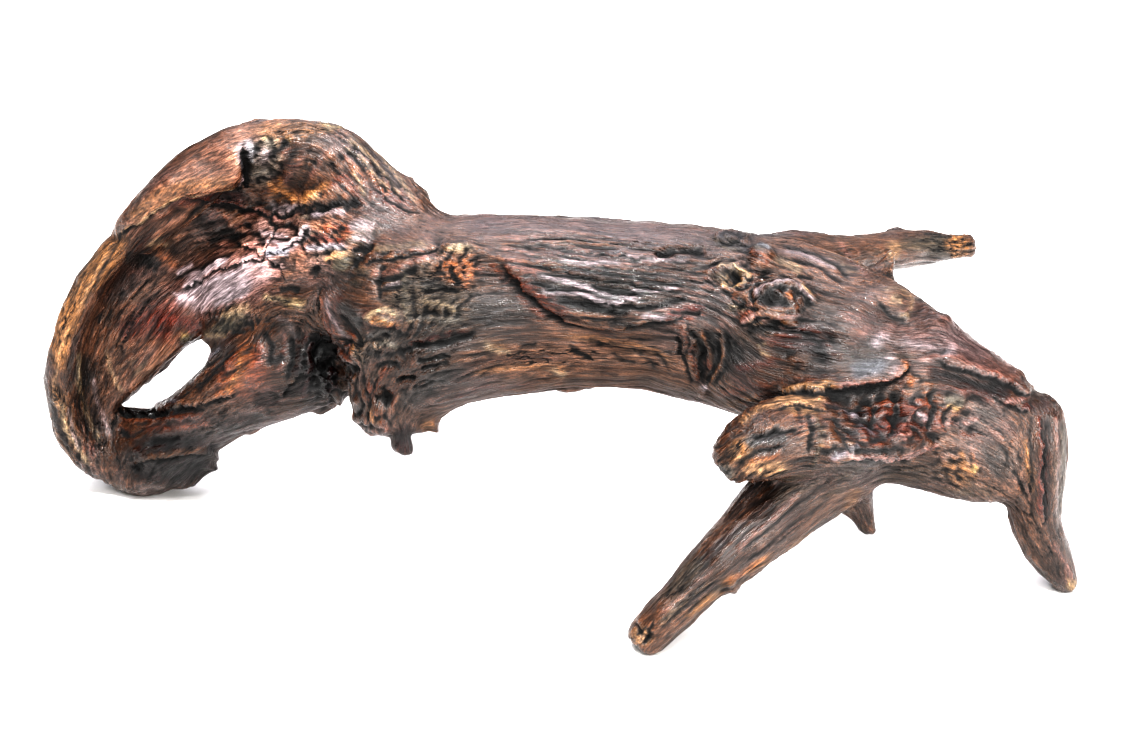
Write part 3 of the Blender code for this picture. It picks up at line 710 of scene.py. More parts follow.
# strokes drawn over the front, as with a sculptor's and a painter's brush in one:
# points, reach px, rise mm (below 0 cuts in), tone, strength
strokes = [
    # rim of the hood
    ([(112, 244), (96, 268), (80, 298), (66, 334), (58, 372)], 7, 0.3, "ochre", 0.9),
    ([(108, 252), (92, 282), (76, 316)], 1.6, 0.8, "tan", 0.7),
    ([(116, 246), (104, 266), (92, 292)], 1.5, -1.0, "bark", 0.8),
    ([(70, 320), (60, 352), (54, 384), (56, 412)], 1.5, 0.8, "tan", 0.6),
    ([(50, 392), (56, 424), (70, 450), (92, 470)], 2.2, 0.2, "blackAndShade", 0.8),
    # roof and its lip
    ([(128, 220), (155, 199), (182, 186), (210, 183), (234, 178)], 5, 0, "ochre", 0.45),
    # a painted highlight along the lip, and a painted reflection down its side
    ([(116, 236), (137, 223), (156, 207), (177, 194), (196, 194), (217, 190), (238, 185)],
      1.5, 0, "sand", 0.9),
    ([(238, 185), (242, 172), (239, 154), (241, 140)], 1.4, 0, "greySheen", 0.8),
    ([(205, 197), (224, 196), (244, 191)], 5, -1.2, "blackAndShade", 0.9),
    ([(166, 206), (190, 200), (214, 202), (244, 200)], 6, -0.6, "oxblood", 0.7),
    ([(240, 150), (242, 176)], 2.0, -1.6, "blackAndShade", 0.9),
    # grey crust and the fibres beside it
    ([(246, 138), (250, 152), (247, 170)], 6, 0.7, "blueGreyCrustAndSheen", 0.7),
    ([(262, 138), (274, 144), (280, 140)], 4, 0.8, "lichen", 0.7),
    ([(290, 139), (278, 150), (264, 160)], 4, -1.6, "blackAndShade", 0.9),
    ([(256, 150), (268, 156), (258, 170)], 6, 0.6, "greySheen", 0.35),
    ([(300, 142), (288, 160), (272, 180)], 3, -0.9, "blackAndShade", 0.6),
    ([(310, 146), (296, 166), (284, 186)], 3, 0.9, "pinkSheen", 0.4),
    ([(320, 156), (308, 174), (300, 190)], 3, -0.9, "blackAndShade", 0.6),
    ([(326, 146), (320, 164), (310, 178)], 3, 0.9, "pinkSheen", 0.5),
    ([(278, 176), (284, 190), (296, 203)], 3.5, 0.7, "ochre", 0.55),
    ([(270, 182), (277, 196)], 2.6, 0.5, "ochre", 0.45),
    ([(302, 200), (318, 191), (334, 182)], 3, 1.2, "ochre", 0.6),
    ([(330, 188), (344, 178), (354, 188), (362, 199)], 4, 1.0, "rust", 0.9),
    ([(346, 168), (362, 172), (380, 184), (390, 196)], 4, 0.4, "amber", 0.55),
    ([(352, 172), (360, 184), (366, 196)], 1.6, 0.9, "sand", 0.6),
    # the fanned strata on the shoulder of the hood
    ([(343, 146), (358, 158), (374, 172), (390, 194)], 1.6, 0.9, "sand", 0.55),
    ([(346, 138), (366, 152), (384, 172), (402, 200)], 1.6, 0.9, "sand", 0.5),
    ([(356, 130), (374, 146), (394, 172), (416, 204)], 2.0, 0.8, "sand", 0.45),
    ([(345, 152), (356, 162), (368, 174)], 1.8, -1.0, "blackAndShade", 0.7),
    ([(350, 144), (370, 162), (388, 184)], 1.6, -1.0, "blackAndShade", 0.6),
    ([(362, 142), (382, 162), (402, 192)], 1.8, -0.9, "bark", 0.7),
    ([(350, 150), (358, 156)], 6, -0.6, "blackAndShade", 0.8),
    ([(306, 217), (320, 207), (338, 199), (362, 200)], 3.4, -2.6, "blackAndShade", 0.95),
    ([(324, 128), (338, 123), (350, 126)], 3, 0, "sand", 0.6),
    # ridges that meet in a star, with painted sheen on them
    ([(236, 213), (256, 210), (276, 214)], 2.6, 1.0, "pinkSheen", 0.7),
    ([(264, 206), (284, 205), (302, 209)], 3, 1.0, "greySheen", 0.6),
    ([(262, 218), (284, 222), (297, 231)], 2.8, -1.6, "blackAndShade", 0.85),
    ([(250, 227), (268, 230), (284, 237)], 2.6, 1.0, "greySheen", 0.45),
    ([(252, 236), (268, 241), (284, 243)], 1.8, 1.0, "greySheen", 0.6),
    ([(262, 234), (276, 238), (290, 238)], 1.4, -0.9, "blackAndShade", 0.7),
    ([(306, 213), (326, 209), (346, 211)], 4, 1.4, "greySheen", 0.55),
    ([(190, 218), (214, 226), (238, 240)], 10, -1.6, "coal", 0.6),
    ([(202, 244), (214, 236), (234, 231)], 6, -1.0, "coal", 0.6),
    ([(238, 222), (252, 232), (260, 246)], 3, -1.2, "coal", 0.6),
    ([(240, 242), (252, 249), (262, 256)], 3.2, 1.8, "pinkSheen", 0.8),
    ([(304, 230), (292, 242), (278, 250), (262, 256)], 3.6, 1.8, "greySheen", 0.6),
    ([(262, 256), (268, 266), (280, 277)], 3.0, 1.2, "pinkSheen", 0.7),
    ([(264, 256), (274, 251), (288, 253)], 4, 0.6, "blueGreyCrustAndSheen", 0.8),
    ([(309, 225), (305, 230), (299, 236)], 2.6, 1.2, "greySheen", 0.6),
    ([(270, 262), (284, 268), (296, 266)], 5, -1.0, "coal", 0.7),
    ([(230, 249), (206, 262), (184, 272), (170, 280)], 2.2, -1.0, "coal", 0.7),
    ([(226, 258), (204, 267), (180, 279)], 2.8, 1.2, "greySheen", 0.7),
    ([(190, 264), (172, 274)], 1.6, 1.2, "greySheen", 0.7),
    ([(238, 261), (218, 272), (198, 282)], 4, 0.8, "pinkSheen", 0.8),
    ([(180, 286), (210, 282), (240, 272)], 6, 0.5, "greySheen", 0.45),
    ([(196, 300), (224, 292), (252, 286)], 9, 0.6, "greySheen", 0.5),
    ([(174, 296), (192, 304), (206, 312)], 6, 0.3, "greySheen", 0.5),
    ([(250, 266), (262, 280), (256, 294)], 6, 0.6, "pinkSheen", 0.6),
    ([(214, 306), (232, 300), (252, 292)], 1.4, 0.7, "greySheen", 0.7),
    ([(168, 292), (184, 298), (200, 302)], 1.4, 0.7, "greySheen", 0.6),
    ([(206, 286), (222, 278), (236, 274)], 1.3, 0.7, "greySheen", 0.6),
    ([(202, 316), (224, 310), (240, 302)], 1.6, -0.8, "bark", 0.7),
    ([(346, 226), (360, 224), (376, 230)], 6, 0.8, "greySheen", 0.5),
    ([(352, 236), (372, 240)], 4, 0.4, "greySheen", 0.5),
    ([(322, 229), (336, 226), (350, 230)], 4, 0.8, "rust", 0.85),
    ([(304, 236), (326, 238), (346, 240)], 3, -1.2, "oxblood", 0.7),
    ([(302, 248), (324, 246), (346, 246)], 3, 1.0, "blueGreyCrustAndSheen", 0.6),
    ([(304, 256), (320, 254), (334, 250)], 2.4, -1.0, "blackAndShade", 0.6),
    ([(352, 252), (364, 247), (373, 245)], 2.2, -2.6, "blackAndShade", 1.0),
    ([(322, 263), (334, 254), (350, 252)], 1.8, 1.6, "tan", 0.8),
    ([(330, 266), (344, 268), (356, 260)], 1.6, 1.0, "olive", 0.6),
    ([(380, 255), (390, 251)], 1.3, -1.0, "blackAndShade", 0.8),
    ([(396, 254), (412, 253)], 1.3, -1.0, "blackAndShade", 0.8),
    ([(372, 249), (400, 247), (430, 246)], 4, 0.2, "sand", 0.45),
    ([(370, 275), (396, 270), (418, 262), (440, 254)], 3.0, 1.6, "pinkSheen", 0.6),
    ([(372, 281), (398, 277), (420, 268)], 2.8, -2.2, "blackAndShade", 0.95),
    ([(378, 291), (398, 286), (412, 281)], 2.2, -1.8, "blackAndShade", 0.85),
    ([(384, 287), (402, 282)], 1.4, 1.2, "greySheen", 0.6),
    # the bowl's red floor, its dark places and the crumbled rim of the window
    ([(150, 318), (180, 321), (204, 330)], 7, 0.5, "oxblood", 0.85),
    ([(118, 334), (140, 324), (162, 322)], 8, 0.3, "oxblood", 0.7),
    ([(156, 246), (164, 260), (176, 268)], 4, 0.8, "amber", 0.6),
    ([(150, 250), (160, 244), (170, 250)], 2.4, 0.9, "sand", 0.6),
    ([(124, 262), (146, 262), (160, 272)], 8, -1.0, "coal", 0.85),
    ([(98, 302), (116, 284), (132, 270)], 7, -0.8, "bark", 0.8),
    ([(104, 330), (112, 308), (128, 292)], 6, -0.6, "coal", 0.5),
    ([(262, 297), (282, 299), (304, 308)], 2.6, 1.8, "sand", 0.8),
    ([(280, 291), (290, 287), (298, 293)], 3, -1.6, "blackAndShade", 0.85),
    ([(222, 318), (236, 310), (252, 306)], 5, 1.0, "sand", 0.5),
    ([(202, 335), (220, 328), (236, 324)], 4, 0.9, "olive", 0.8),
    ([(206, 338), (226, 334)], 1.8, 0.8, "sand", 0.6),
    ([(180, 344), (188, 338), (196, 341)], 3, 0.8, "coal", 0.8),
    ([(102, 446), (86, 414), (78, 380), (80, 350)], 2.0, 1.0, "sand", 0.6),
    ([(112, 436), (98, 404), (92, 376)], 1.8, 0.9, "greySheen", 0.5),
    ([(90, 466), (68, 434), (60, 400)], 2.2, 1.0, "sand", 0.7),
    ([(80, 452), (72, 430), (68, 404)], 1.4, 0.8, "greySheen", 0.6),
    ([(122, 394), (112, 372), (104, 348)], 1.8, 0.8, "sand", 0.35),
    ([(94, 440), (82, 416), (74, 392)], 1.6, -0.9, "bark", 0.7),
    # strut
    ([(222, 344), (206, 362), (188, 386)], 2.8, 1.4, "blueGreyCrustAndSheen", 0.6),
    ([(214, 352), (200, 370)], 1.5, 1.0, "greySheen", 0.7),
    ([(231, 350), (214, 370), (196, 394)], 2.0, -1.6, "blackAndShade", 0.9),
    ([(238, 344), (224, 362), (210, 384)], 1.6, -0.9, "bark", 0.7),
    ([(252, 342), (248, 362), (236, 384)], 10, 0.4, "amber", 0.6),
    ([(262, 344), (258, 364), (246, 388)], 6, 0.3, "rust", 0.8),
    ([(216, 396), (230, 390), (244, 380)], 6, 0.3, "amber", 0.6),
    ([(244, 350), (240, 372), (228, 392)], 1.4, 0.5, "ochre", 0.6),
    ([(262, 330), (272, 346), (268, 366)], 2.6, -1.8, "blackAndShade", 0.9),
    ([(256, 336), (263, 352), (260, 368)], 1.8, 1.4, "pinkSheen", 0.5),
    ([(283, 328), (286, 350), (279, 374)], 2.2, 1.6, "pinkSheen", 0.5),
    ([(291, 336), (294, 356), (286, 382)], 2.2, -1.8, "blackAndShade", 0.9),
    ([(274, 316), (288, 322), (298, 340)], 2.6, 1.4, "blueGreyCrustAndSheen", 0.4),
    ([(268, 358), (276, 362), (286, 356)], 4, -1.4, "blackAndShade", 0.9),
    ([(118, 412), (146, 410), (172, 414)], 3.6, -2.4, "blackAndShade", 1.0),
    ([(172, 408), (190, 408), (206, 412)], 2.2, -1.4, "blackAndShade", 0.95),
    ([(130, 406), (156, 404), (182, 402)], 1.6, 1.2, "blueGreyCrustAndSheen", 0.7),
    ([(118, 420), (160, 419), (208, 414)], 2.0, 1.6, "rust", 0.6),
    ([(142, 430), (172, 428), (212, 422)], 4, 0.6, "rust", 0.8),
    # painted shade under the strut
    ([(142, 442), (176, 442), (210, 440)], 6, -1.0, "redShadow", 0.9),
    ([(148, 458), (180, 451), (210, 447)], 2.6, 1.6, "matt", 0.8),
    ([(152, 465), (182, 458), (210, 453)], 1.6, -1.2, "blackAndShade", 0.9),
    ([(136, 474), (170, 476), (208, 468)], 8, -0.8, "redShadow", 1.0),
    ([(214, 432), (246, 420), (280, 412)], 6, -0.4, "redShadow", 0.8),
    ([(252, 404), (280, 396), (298, 384)], 8, -0.6, "redShadow", 0.85),
    ([(250, 418), (276, 408), (314, 410)], 4, 0.7, "bark", 0.7),
    ([(118, 426), (132, 436), (140, 448)], 3, -1.0, "rust", 0.6),
    ([(120, 430), (128, 438)], 2.4, -2.0, "blackAndShade", 0.9),
    # flap and the root's front edge
    ([(304, 330), (310, 370), (303, 402)], 2.6, 1.4, "oxblood", 0.5),
    ([(340, 342), (333, 370), (338, 400)], 2.6, 1.4, "oxblood", 0.5),
    ([(320, 336), (322, 364), (318, 396)], 3, -1.6, "blackAndShade", 1.0),
    ([(324, 292), (331, 322), (344, 350), (352, 366)], 4, 1.8, "rust", 0.6),
    ([(328, 296), (338, 326), (350, 350)], 1.4, 0.7, "greySheen", 0.6),
    ([(342, 300), (352, 316), (364, 326)], 8, 0.2, "coal", 0.8),
    ([(352, 330), (346, 344), (354, 356)], 4, 0.8, "rust", 0.7),
    ([(344, 366), (352, 369), (360, 370)], 3, -3.0, "blackAndShade", 1.0),
    # end of the trunk
    ([(367, 323), (375, 313), (388, 310), (399, 317)], 2.6, 1.0, "sand", 0.7),
    ([(374, 318), (386, 315), (396, 320)], 1.3, -0.7, "rust", 0.7),
    ([(366, 328), (384, 328), (400, 328)], 1.5, -1.2, "rust", 0.8),
    ([(364, 338), (378, 332), (392, 334)], 3.4, -1.0, "coal", 0.8),
    ([(370, 346), (384, 342), (398, 348)], 3.4, 1.2, "lichen", 0.8),
    ([(364, 354), (380, 356), (396, 356)], 2.6, -0.9, "coal", 0.7),
    ([(406, 266), (404, 290), (406, 312), (412, 326)], 3.4, 1.4, "olive", 0.7),
    ([(414, 276), (412, 298), (414, 314)], 1.6, -0.8, "blackAndShade", 0.4),
    ([(418, 299), (440, 303), (458, 312)], 2.6, 1.2, "sand", 0.45),
    ([(412, 316), (432, 320), (466, 322)], 3, 1.4, "lichen", 0.6),
    ([(418, 310), (440, 313)], 1.6, -1.0, "blackAndShade", 0.7),
    ([(408, 348), (436, 338), (470, 332)], 2.2, -2.4, "oxblood", 0.95),
    ([(424, 352), (452, 342), (472, 338)], 1.5, -1.6, "blackAndShade", 0.9),
    ([(436, 360), (452, 356)], 1.4, -1.4, "blackAndShade", 0.9),
    ([(396, 381), (416, 378)], 1.6, -1.8, "blackAndShade", 0.95),
    ([(412, 388), (428, 388)], 1.3, -1.2, "blackAndShade", 0.9),
    ([(374, 366), (390, 363), (402, 369)], 1.8, -2.0, "blackAndShade", 0.9),
    ([(366, 380), (372, 392), (367, 402)], 2.8, 1.4, "rust", 0.7),
    ([(374, 388), (382, 376), (386, 366)], 2.6, 1.0, "rust", 0.7),
    ([(374, 408), (382, 418), (386, 432)], 2.2, 1.4, "rust", 0.6),
    ([(356, 394), (360, 412), (372, 428)], 5, 0.4, "bark", 0.7),
    ([(398, 400), (420, 396), (436, 386)], 9, -0.4, "coal", 0.7),
    ([(400, 434), (404, 446)], 5, 0, "blackAndShade", 0.7),
    ([(442, 262), (456, 268), (468, 280)], 3.4, 1.0, "amber", 0.85),
    ([(462, 257), (471, 272), (466, 290)], 2.6, 1.0, "amber", 0.85),
    ([(476, 262), (484, 276)], 2.6, 0.6, "rust", 0.85),
    ([(488, 264), (500, 272), (508, 284)], 3, 0.9, "rust", 0.75),
    ([(452, 272), (460, 286)], 2.0, -1.2, "blackAndShade", 0.8),
    ([(420, 286), (440, 282), (456, 290)], 5, 0, "coal", 0.6),
    # the red edge under the gloss, and its painted glints
    ([(504, 270), (520, 284), (538, 299), (556, 312)], 3.6, 1.6, "rust", 0.85),
    ([(514, 292), (530, 306), (544, 318)], 2.8, 0.8, "rust", 0.6),
    ([(524, 288), (540, 304)], 1.3, -0.9, "blackAndShade", 0.8),
    ([(500, 262), (520, 267), (540, 277)], 4, 0.6, "pinkSheen", 0.6),
    ([(536, 274), (556, 280), (580, 286), (604, 292)], 2.0, 1.6, "greySheen", 0.8),
    ([(540, 290), (566, 292), (590, 298), (614, 306)], 2.0, 1.6, "greySheen", 0.8),
    ([(560, 282), (590, 290), (620, 298), (642, 300)], 1.4, 1.4, "greySheen", 0.85),
    ([(584, 298), (606, 304), (626, 302)], 1.3, 1.2, "greySheen", 0.95),
    ([(528, 281), (548, 287), (576, 293)], 2.0, -1.8, "blackAndShade", 0.95),
    ([(552, 300), (580, 305), (604, 311), (632, 313)], 4, -2.0, "blackAndShade", 1.0),
    ([(588, 286), (616, 293), (642, 294)], 2.2, -1.8, "blackAndShade", 0.95),
    ([(618, 307), (650, 309), (672, 301), (692, 297)], 2.2, -1.8, "blackAndShade", 0.95),
    ([(606, 322), (640, 327), (666, 325)], 2.8, -1.8, "blackAndShade", 0.95),
    ([(600, 272), (630, 278), (662, 278)], 1.6, -1.2, "blackAndShade", 0.85),
    ([(640, 284), (664, 287), (686, 282)], 1.6, -1.2, "blackAndShade", 0.85),
    ([(630, 290), (656, 291), (680, 288)], 1.3, 1.0, "greySheen", 0.8),
    ([(652, 257), (670, 250), (704, 248)], 2.4, -2.4, "blackAndShade", 1.0),
    ([(640, 316), (660, 318), (678, 314)], 1.3, 1.0, "greySheen", 0.9),
    ([(560, 262), (590, 266), (622, 266)], 1.4, 0.9, "greySheen", 0.6),
    ([(520, 243), (545, 247), (572, 253)], 1.5, -1.2, "blackAndShade", 0.75),
    ([(504, 240), (530, 238), (558, 244)], 2.6, 0.5, "pinkSheen", 0.6),
    ([(500, 250), (520, 254), (546, 262)], 2.4, 0.6, "pinkSheen", 0.5),
    ([(620, 258), (650, 262), (690, 262)], 1.3, 0.9, "greySheen", 0.6),
    ([(586, 252), (622, 255)], 1.3, -1.0, "blackAndShade", 0.75),
    ([(690, 268), (720, 264)], 1.3, -1.0, "blackAndShade", 0.7),
    ([(664, 318), (684, 310), (706, 305)], 3, 0.8, "oxblood", 0.95),
    ([(670, 326), (690, 318), (708, 312)], 1.6, 0.6, "rust", 0.7),
    # matt side of the trunk
    ([(566, 344), (580, 352), (594, 361)], 1.2, -0.9, "blackAndShade", 0.7),
    ([(610, 352), (626, 361), (638, 364)], 1.1, -0.8, "blackAndShade", 0.65),
    ([(638, 352), (650, 362), (656, 370)], 1.1, -0.8, "blackAndShade", 0.65),
    ([(654, 350), (664, 362), (672, 372)], 1.1, -0.8, "blackAndShade", 0.6),
    ([(588, 340), (604, 346)], 1.1, -0.7, "blackAndShade", 0.6),
    ([(600, 372), (620, 376)], 1.1, -0.7, "bark", 0.7),
    ([(520, 344), (538, 346)], 1.2, -0.8, "blackAndShade", 0.7),
    ([(484, 342), (492, 350), (512, 353)], 2.6, 0.9, "sand", 0.55),
    ([(552, 367), (562, 376), (566, 370)], 1.8, 0.7, "sand", 0.6),
    ([(470, 374), (520, 367), (566, 366)], 2.4, 0.2, "ochre", 0.4),
    ([(560, 336), (600, 340), (650, 348), (676, 364)], 3, 0.2, "ochre", 0.4),
    ([(460, 364), (520, 358), (570, 358)], 1.8, 0, "oxblood", 0.4),
    ([(450, 398), (480, 388), (540, 384)], 2.2, 0, "oxblood", 0.4),
    ([(560, 384), (620, 380), (670, 382)], 3, 0, "bark", 0.45),
    # pinch
    ([(680, 324), (690, 346), (697, 372), (699, 388)], 1.8, 1.6, "rust", 0.5),
    ([(690, 326), (700, 350), (701, 386)], 1.5, -1.8, "blackAndShade", 0.95),
    ([(702, 328), (708, 356), (703, 386)], 1.5, 1.6, "matt", 0.5),
    ([(710, 326), (714, 356), (705, 388)], 1.4, -1.6, "blackAndShade", 0.9),
    ([(718, 326), (720, 358), (708, 388)], 1.4, 1.4, "matt", 0.5),
    ([(728, 330), (726, 362), (712, 388)], 1.4, -1.4, "blackAndShade", 0.85),
    ([(700, 358), (708, 372)], 1.4, 0.6, "rust", 0.9),
    ([(703, 385), (706, 390)], 1.6, 0.8, "greySheen", 0.9),
    # knots and burl on the shoulder
    ([(716, 242), (726, 232), (742, 238), (728, 245), (716, 242)], 1.3, -1.2, "blackAndShade", 0.9),
    ([(716, 268), (730, 264), (744, 272), (752, 280)], 2.2, 1.4, "sand", 0.6),
    ([(720, 282), (734, 286), (748, 282)], 1.8, 1.2, "cream", 0.5),
    ([(728, 276), (736, 282), (742, 278)], 2.2, -2.0, "blackAndShade", 1.0),
    ([(748, 247), (757, 256), (770, 266)], 2.8, 1.4, "rust", 0.65),
    ([(757, 244), (766, 247), (770, 252)], 2.6, 1.2, "blueGreyCrustAndSheen", 0.85),
    ([(774, 258), (790, 264), (802, 272)], 4, 0.5, "sand", 0.5),
    ([(780, 244), (810, 252), (838, 264), (852, 281)], 1.7, -1.6, "blackAndShade", 0.8),
    ([(790, 257), (820, 268), (846, 285)], 1.5, -1.2, "blackAndShade", 0.7),
    ([(784, 250), (814, 258), (840, 270)], 1.4, 1.0, "greySheen", 0.5),
    ([(796, 276), (814, 277)], 1.4, -1.6, "blackAndShade", 0.9),
    ([(838, 240), (852, 262), (870, 278)], 2.6, 0.9, "pinkSheen", 0.5),
    ([(754, 296), (766, 287), (784, 285), (800, 290), (814, 303)], 2.0, 2.8, "greySheen", 0.65),
    ([(758, 301), (774, 297), (788, 302)], 5, -2.6, "blackAndShade", 0.95),
    ([(784, 294), (788, 300)], 2.6, 0.8, "amber", 0.85),
    ([(800, 287), (810, 297)], 1.6, 1.2, "cream", 0.6),
    ([(728, 308), (738, 306), (748, 310)], 3, 0.8, "sand", 0.6),
    ([(736, 296), (744, 302), (740, 310)], 1.6, -1.2, "blackAndShade", 0.8),
    ([(740, 322), (756, 318), (770, 322), (786, 317), (802, 316)], 1.6, 2.8, "pinkSheen", 0.85),
    ([(742, 317), (758, 313)], 2.0, 0.8, "rust", 0.85),
    ([(746, 330), (762, 330), (780, 326)], 4, -2.2, "blackAndShade", 0.95),
    ([(756, 347), (766, 343)], 1.6, 0.8, "sand", 0.8),
    ([(758, 355), (768, 352)], 1.4, 0.6, "sand", 0.7),
    ([(800, 320), (818, 332), (834, 352), (842, 364)], 2.8, 1.2, "rust", 0.45),
    ([(802, 332), (816, 344), (828, 362)], 6, -1.0, "blackAndShade", 0.7),
    ([(789, 359), (800, 353), (810, 361)], 1.8, 1.0, "matt", 0.7),
    ([(796, 362), (800, 368)], 2.4, -1.0, "rust", 0.6),
    ([(714, 398), (750, 387), (786, 380), (822, 384)], 2.6, 0.7, "rust", 0.55),
    ([(722, 406), (760, 396)], 2.2, 0.6, "ochre", 0.45),
    ([(732, 372), (756, 366), (778, 360)], 3.4, 0.6, "oxblood", 0.6),
    # painted sheen over the smooth wood of the cavity
    ([(850, 372), (868, 368), (886, 366)], 9, 0.2, "blueGreyCrustAndSheen", 0.85),
    ([(872, 348), (880, 336), (892, 338)], 4, 0.7, "greySheen", 0.85),
    ([(886, 356), (896, 364), (890, 374)], 3, 0.4, "greySheen", 0.6),
    ([(898, 340), (926, 346), (958, 354)], 5, 0.5, "greySheen", 0.45),
    ([(856, 332), (896, 330), (930, 338)], 6, 0.2, "pinkSheen", 0.45),
    ([(846, 310), (852, 330), (856, 350)], 5, 0.2, "pinkSheen", 0.35),
    # lips of the cavity
    ([(772, 399), (790, 391), (812, 388), (836, 386)], 2.6, 0.8, "tan", 0.8),
    ([(836, 386), (862, 385), (884, 381), (898, 371)], 2.0, 0.8, "pinkSheen", 0.9),
    ([(824, 397), (850, 391), (880, 389), (898, 381)], 3.4, -2.4, "blackAndShade", 1.0),
    ([(902, 362), (908, 374), (914, 388)], 3, 1.4, "amber", 0.65),
    ([(896, 366), (902, 380), (904, 394)], 1.6, 1.0, "pinkSheen", 0.6),
    ([(918, 361), (940, 357), (962, 360), (984, 368)], 1.8, 1.6, "pinkSheen", 0.7),
    ([(984, 370), (1000, 379), (1016, 386)], 2.0, 1.2, "rust", 0.8),
    # painted shade under the lip
    ([(926, 370), (952, 378), (984, 387), (1014, 394)], 8, -2.2, "redShadow", 0.95),
    ([(940, 370), (966, 377), (1000, 388)], 3.0, -1.6, "blackAndShade", 0.8),
    ([(936, 388), (964, 394), (996, 400)], 5, -0.4, "oxblood", 0.7),
    ([(1000, 405), (1018, 399), (1031, 396)], 2.4, 1.8, "pinkSheen", 0.85),
    ([(1022, 406), (1034, 408)], 3, 0, "oxblood", 0.9),
    ([(944, 400), (956, 398), (966, 406)], 4, 1.4, "lichen", 0.8),
    ([(948, 406), (960, 410)], 2.2, 0.9, "cream", 0.6),
    ([(880, 402), (890, 398), (898, 404)], 3.4, 1.6, "rust", 0.75),
    ([(916, 394), (926, 400), (930, 410)], 3.4, 1.8, "rust", 0.8),
    ([(898, 426), (906, 424), (914, 430), (906, 438), (898, 432)], 2.4, 1.8, "pinkSheen", 0.7),
    ([(834, 400), (858, 412), (878, 434)], 2.2, 1.6, "blueGreyCrustAndSheen", 0.6),
    ([(850, 402), (874, 418), (890, 440)], 1.8, -1.6, "blackAndShade", 0.9),
    ([(832, 412), (846, 426), (862, 434)], 1.8, -1.4, "blackAndShade", 0.8),
    ([(846, 436), (868, 440), (886, 447)], 2.6, 1.2, "rust", 0.65),
    ([(938, 424), (960, 423), (984, 417)], 3, 1.4, "pinkSheen", 0.65),
    ([(958, 432), (976, 438)], 2.8, 1.2, "rust", 0.75),
    ([(920, 414), (936, 420)], 1.8, 1.2, "greySheen", 0.6),
    ([(826, 460), (842, 454), (866, 457), (900, 456), (926, 449), (944, 443)],
      1.8, 2.2, "pinkSheen", 0.85),
    ([(828, 457), (848, 451), (860, 444)], 2.6, 1.0, "blueGreyCrustAndSheen", 0.7),
    ([(850, 449), (880, 452), (906, 448)], 2.2, -1.8, "blackAndShade", 0.9),
    ([(840, 464), (880, 463), (912, 461)], 2.2, -1.6, "blackAndShade", 0.85),
    # horn
    ([(744, 446), (764, 438), (788, 434)], 6, -0.8, "coal", 0.85),
    ([(806, 408), (813, 430), (808, 458)], 1.8, -1.4, "blackAndShade", 0.75),
    ([(816, 410), (823, 440), (812, 472)], 1.8, 1.2, "olive", 0.7),
    ([(796, 402), (802, 420), (798, 436)], 1.8, -1.0, "rust", 0.5),
    ([(740, 424), (760, 410), (780, 404)], 3, 0.4, "tan", 0.8),
    ([(738, 440), (744, 446), (742, 456)], 2.2, 0.8, "ochre", 0.9),
    ([(748, 462), (768, 460), (784, 454)], 3, 0.4, "amber", 0.6),
    ([(748, 470), (770, 474), (786, 468)], 3, 0.2, "tan", 0.8),
    ([(716, 464), (720, 474), (728, 480)], 4, 0, "lichen", 0.7),
    # knot on the far slope
    ([(880, 292), (896, 290), (910, 299), (912, 314)], 1.8, 1.0, "sand", 0.3),
    ([(876, 303), (890, 315), (908, 320)], 1.8, -1.4, "blackAndShade", 0.8),
    ([(890, 298), (900, 300), (898, 306)], 1.8, 0.9, "sand", 0.4),
    ([(872, 296), (884, 308), (900, 312)], 1.2, -0.8, "blackAndShade", 0.6),
    # slab and right leg
    ([(1040, 412), (1041, 460), (1040, 520)], 1.8, 1.0, "oxblood", 0.85),
    ([(1048, 410), (1050, 460), (1049, 520)], 1.3, -0.8, "blackAndShade", 0.6),
    ([(1056, 408), (1058, 460), (1056, 516)], 1.6, 0.9, "pinkSheen", 0.5),
    ([(1063, 420), (1064, 470), (1060, 520)], 1.6, 0.8, "lichen", 0.7),
    ([(1030, 420), (1031, 460), (1032, 500)], 1.3, -0.8, "blackAndShade", 0.6),
    ([(1026, 440), (1028, 476)], 1.6, 0.8, "ochre", 0.6),
    ([(984, 440), (988, 460), (1000, 480)], 5, -0.4, "coal", 0.6),
    ([(960, 450), (966, 466), (962, 480)], 2.2, 1.0, "ochre", 0.7),
    ([(972, 452), (978, 468)], 1.8, 0.8, "amber", 0.7),
    ([(1040, 536), (1052, 560), (1062, 580)], 1.4, -0.7, "blackAndShade", 0.5),
    ([(1052, 540), (1064, 562), (1072, 580)], 1.6, 0.8, "pinkSheen", 0.5),
    # front leg
    ([(800, 492), (770, 520), (736, 552)], 2.0, 1.0, "pinkSheen", 0.4),
    ([(830, 500), (796, 522), (764, 548)], 1.4, -0.8, "blackAndShade", 0.6),
    ([(846, 514), (816, 532), (790, 546)], 2.2, 0.8, "ochre", 0.5),
    ([(770, 556), (744, 572), (722, 586)], 2.2, 0.8, "amber", 0.6),
    ([(724, 592), (704, 606), (684, 618)], 2.0, 0.7, "ochre", 0.6),
    ([(760, 512), (726, 544), (694, 574)], 1.4, -0.7, "blackAndShade", 0.5),
    ([(716, 566), (690, 590), (660, 616)], 1.8, 0.9, "pinkSheen", 0.4),
    ([(636, 634), (646, 628), (652, 636), (642, 644)], 1.4, -1.2, "blackAndShade", 0.9),
]


def inDab(places, across, down, wide, high, turn=0.0):
    # distance from a dab's middle, 1 on its edge
    angle = math.radians(turn)
    rel = places - (across, down)
    a = (rel[:, 0] * math.cos(angle) + rel[:, 1] * math.sin(angle)) / wide
    b = (-rel[:, 0] * math.sin(angle) + rel[:, 1] * math.cos(angle)) / high
    return np.hypot(a, b)


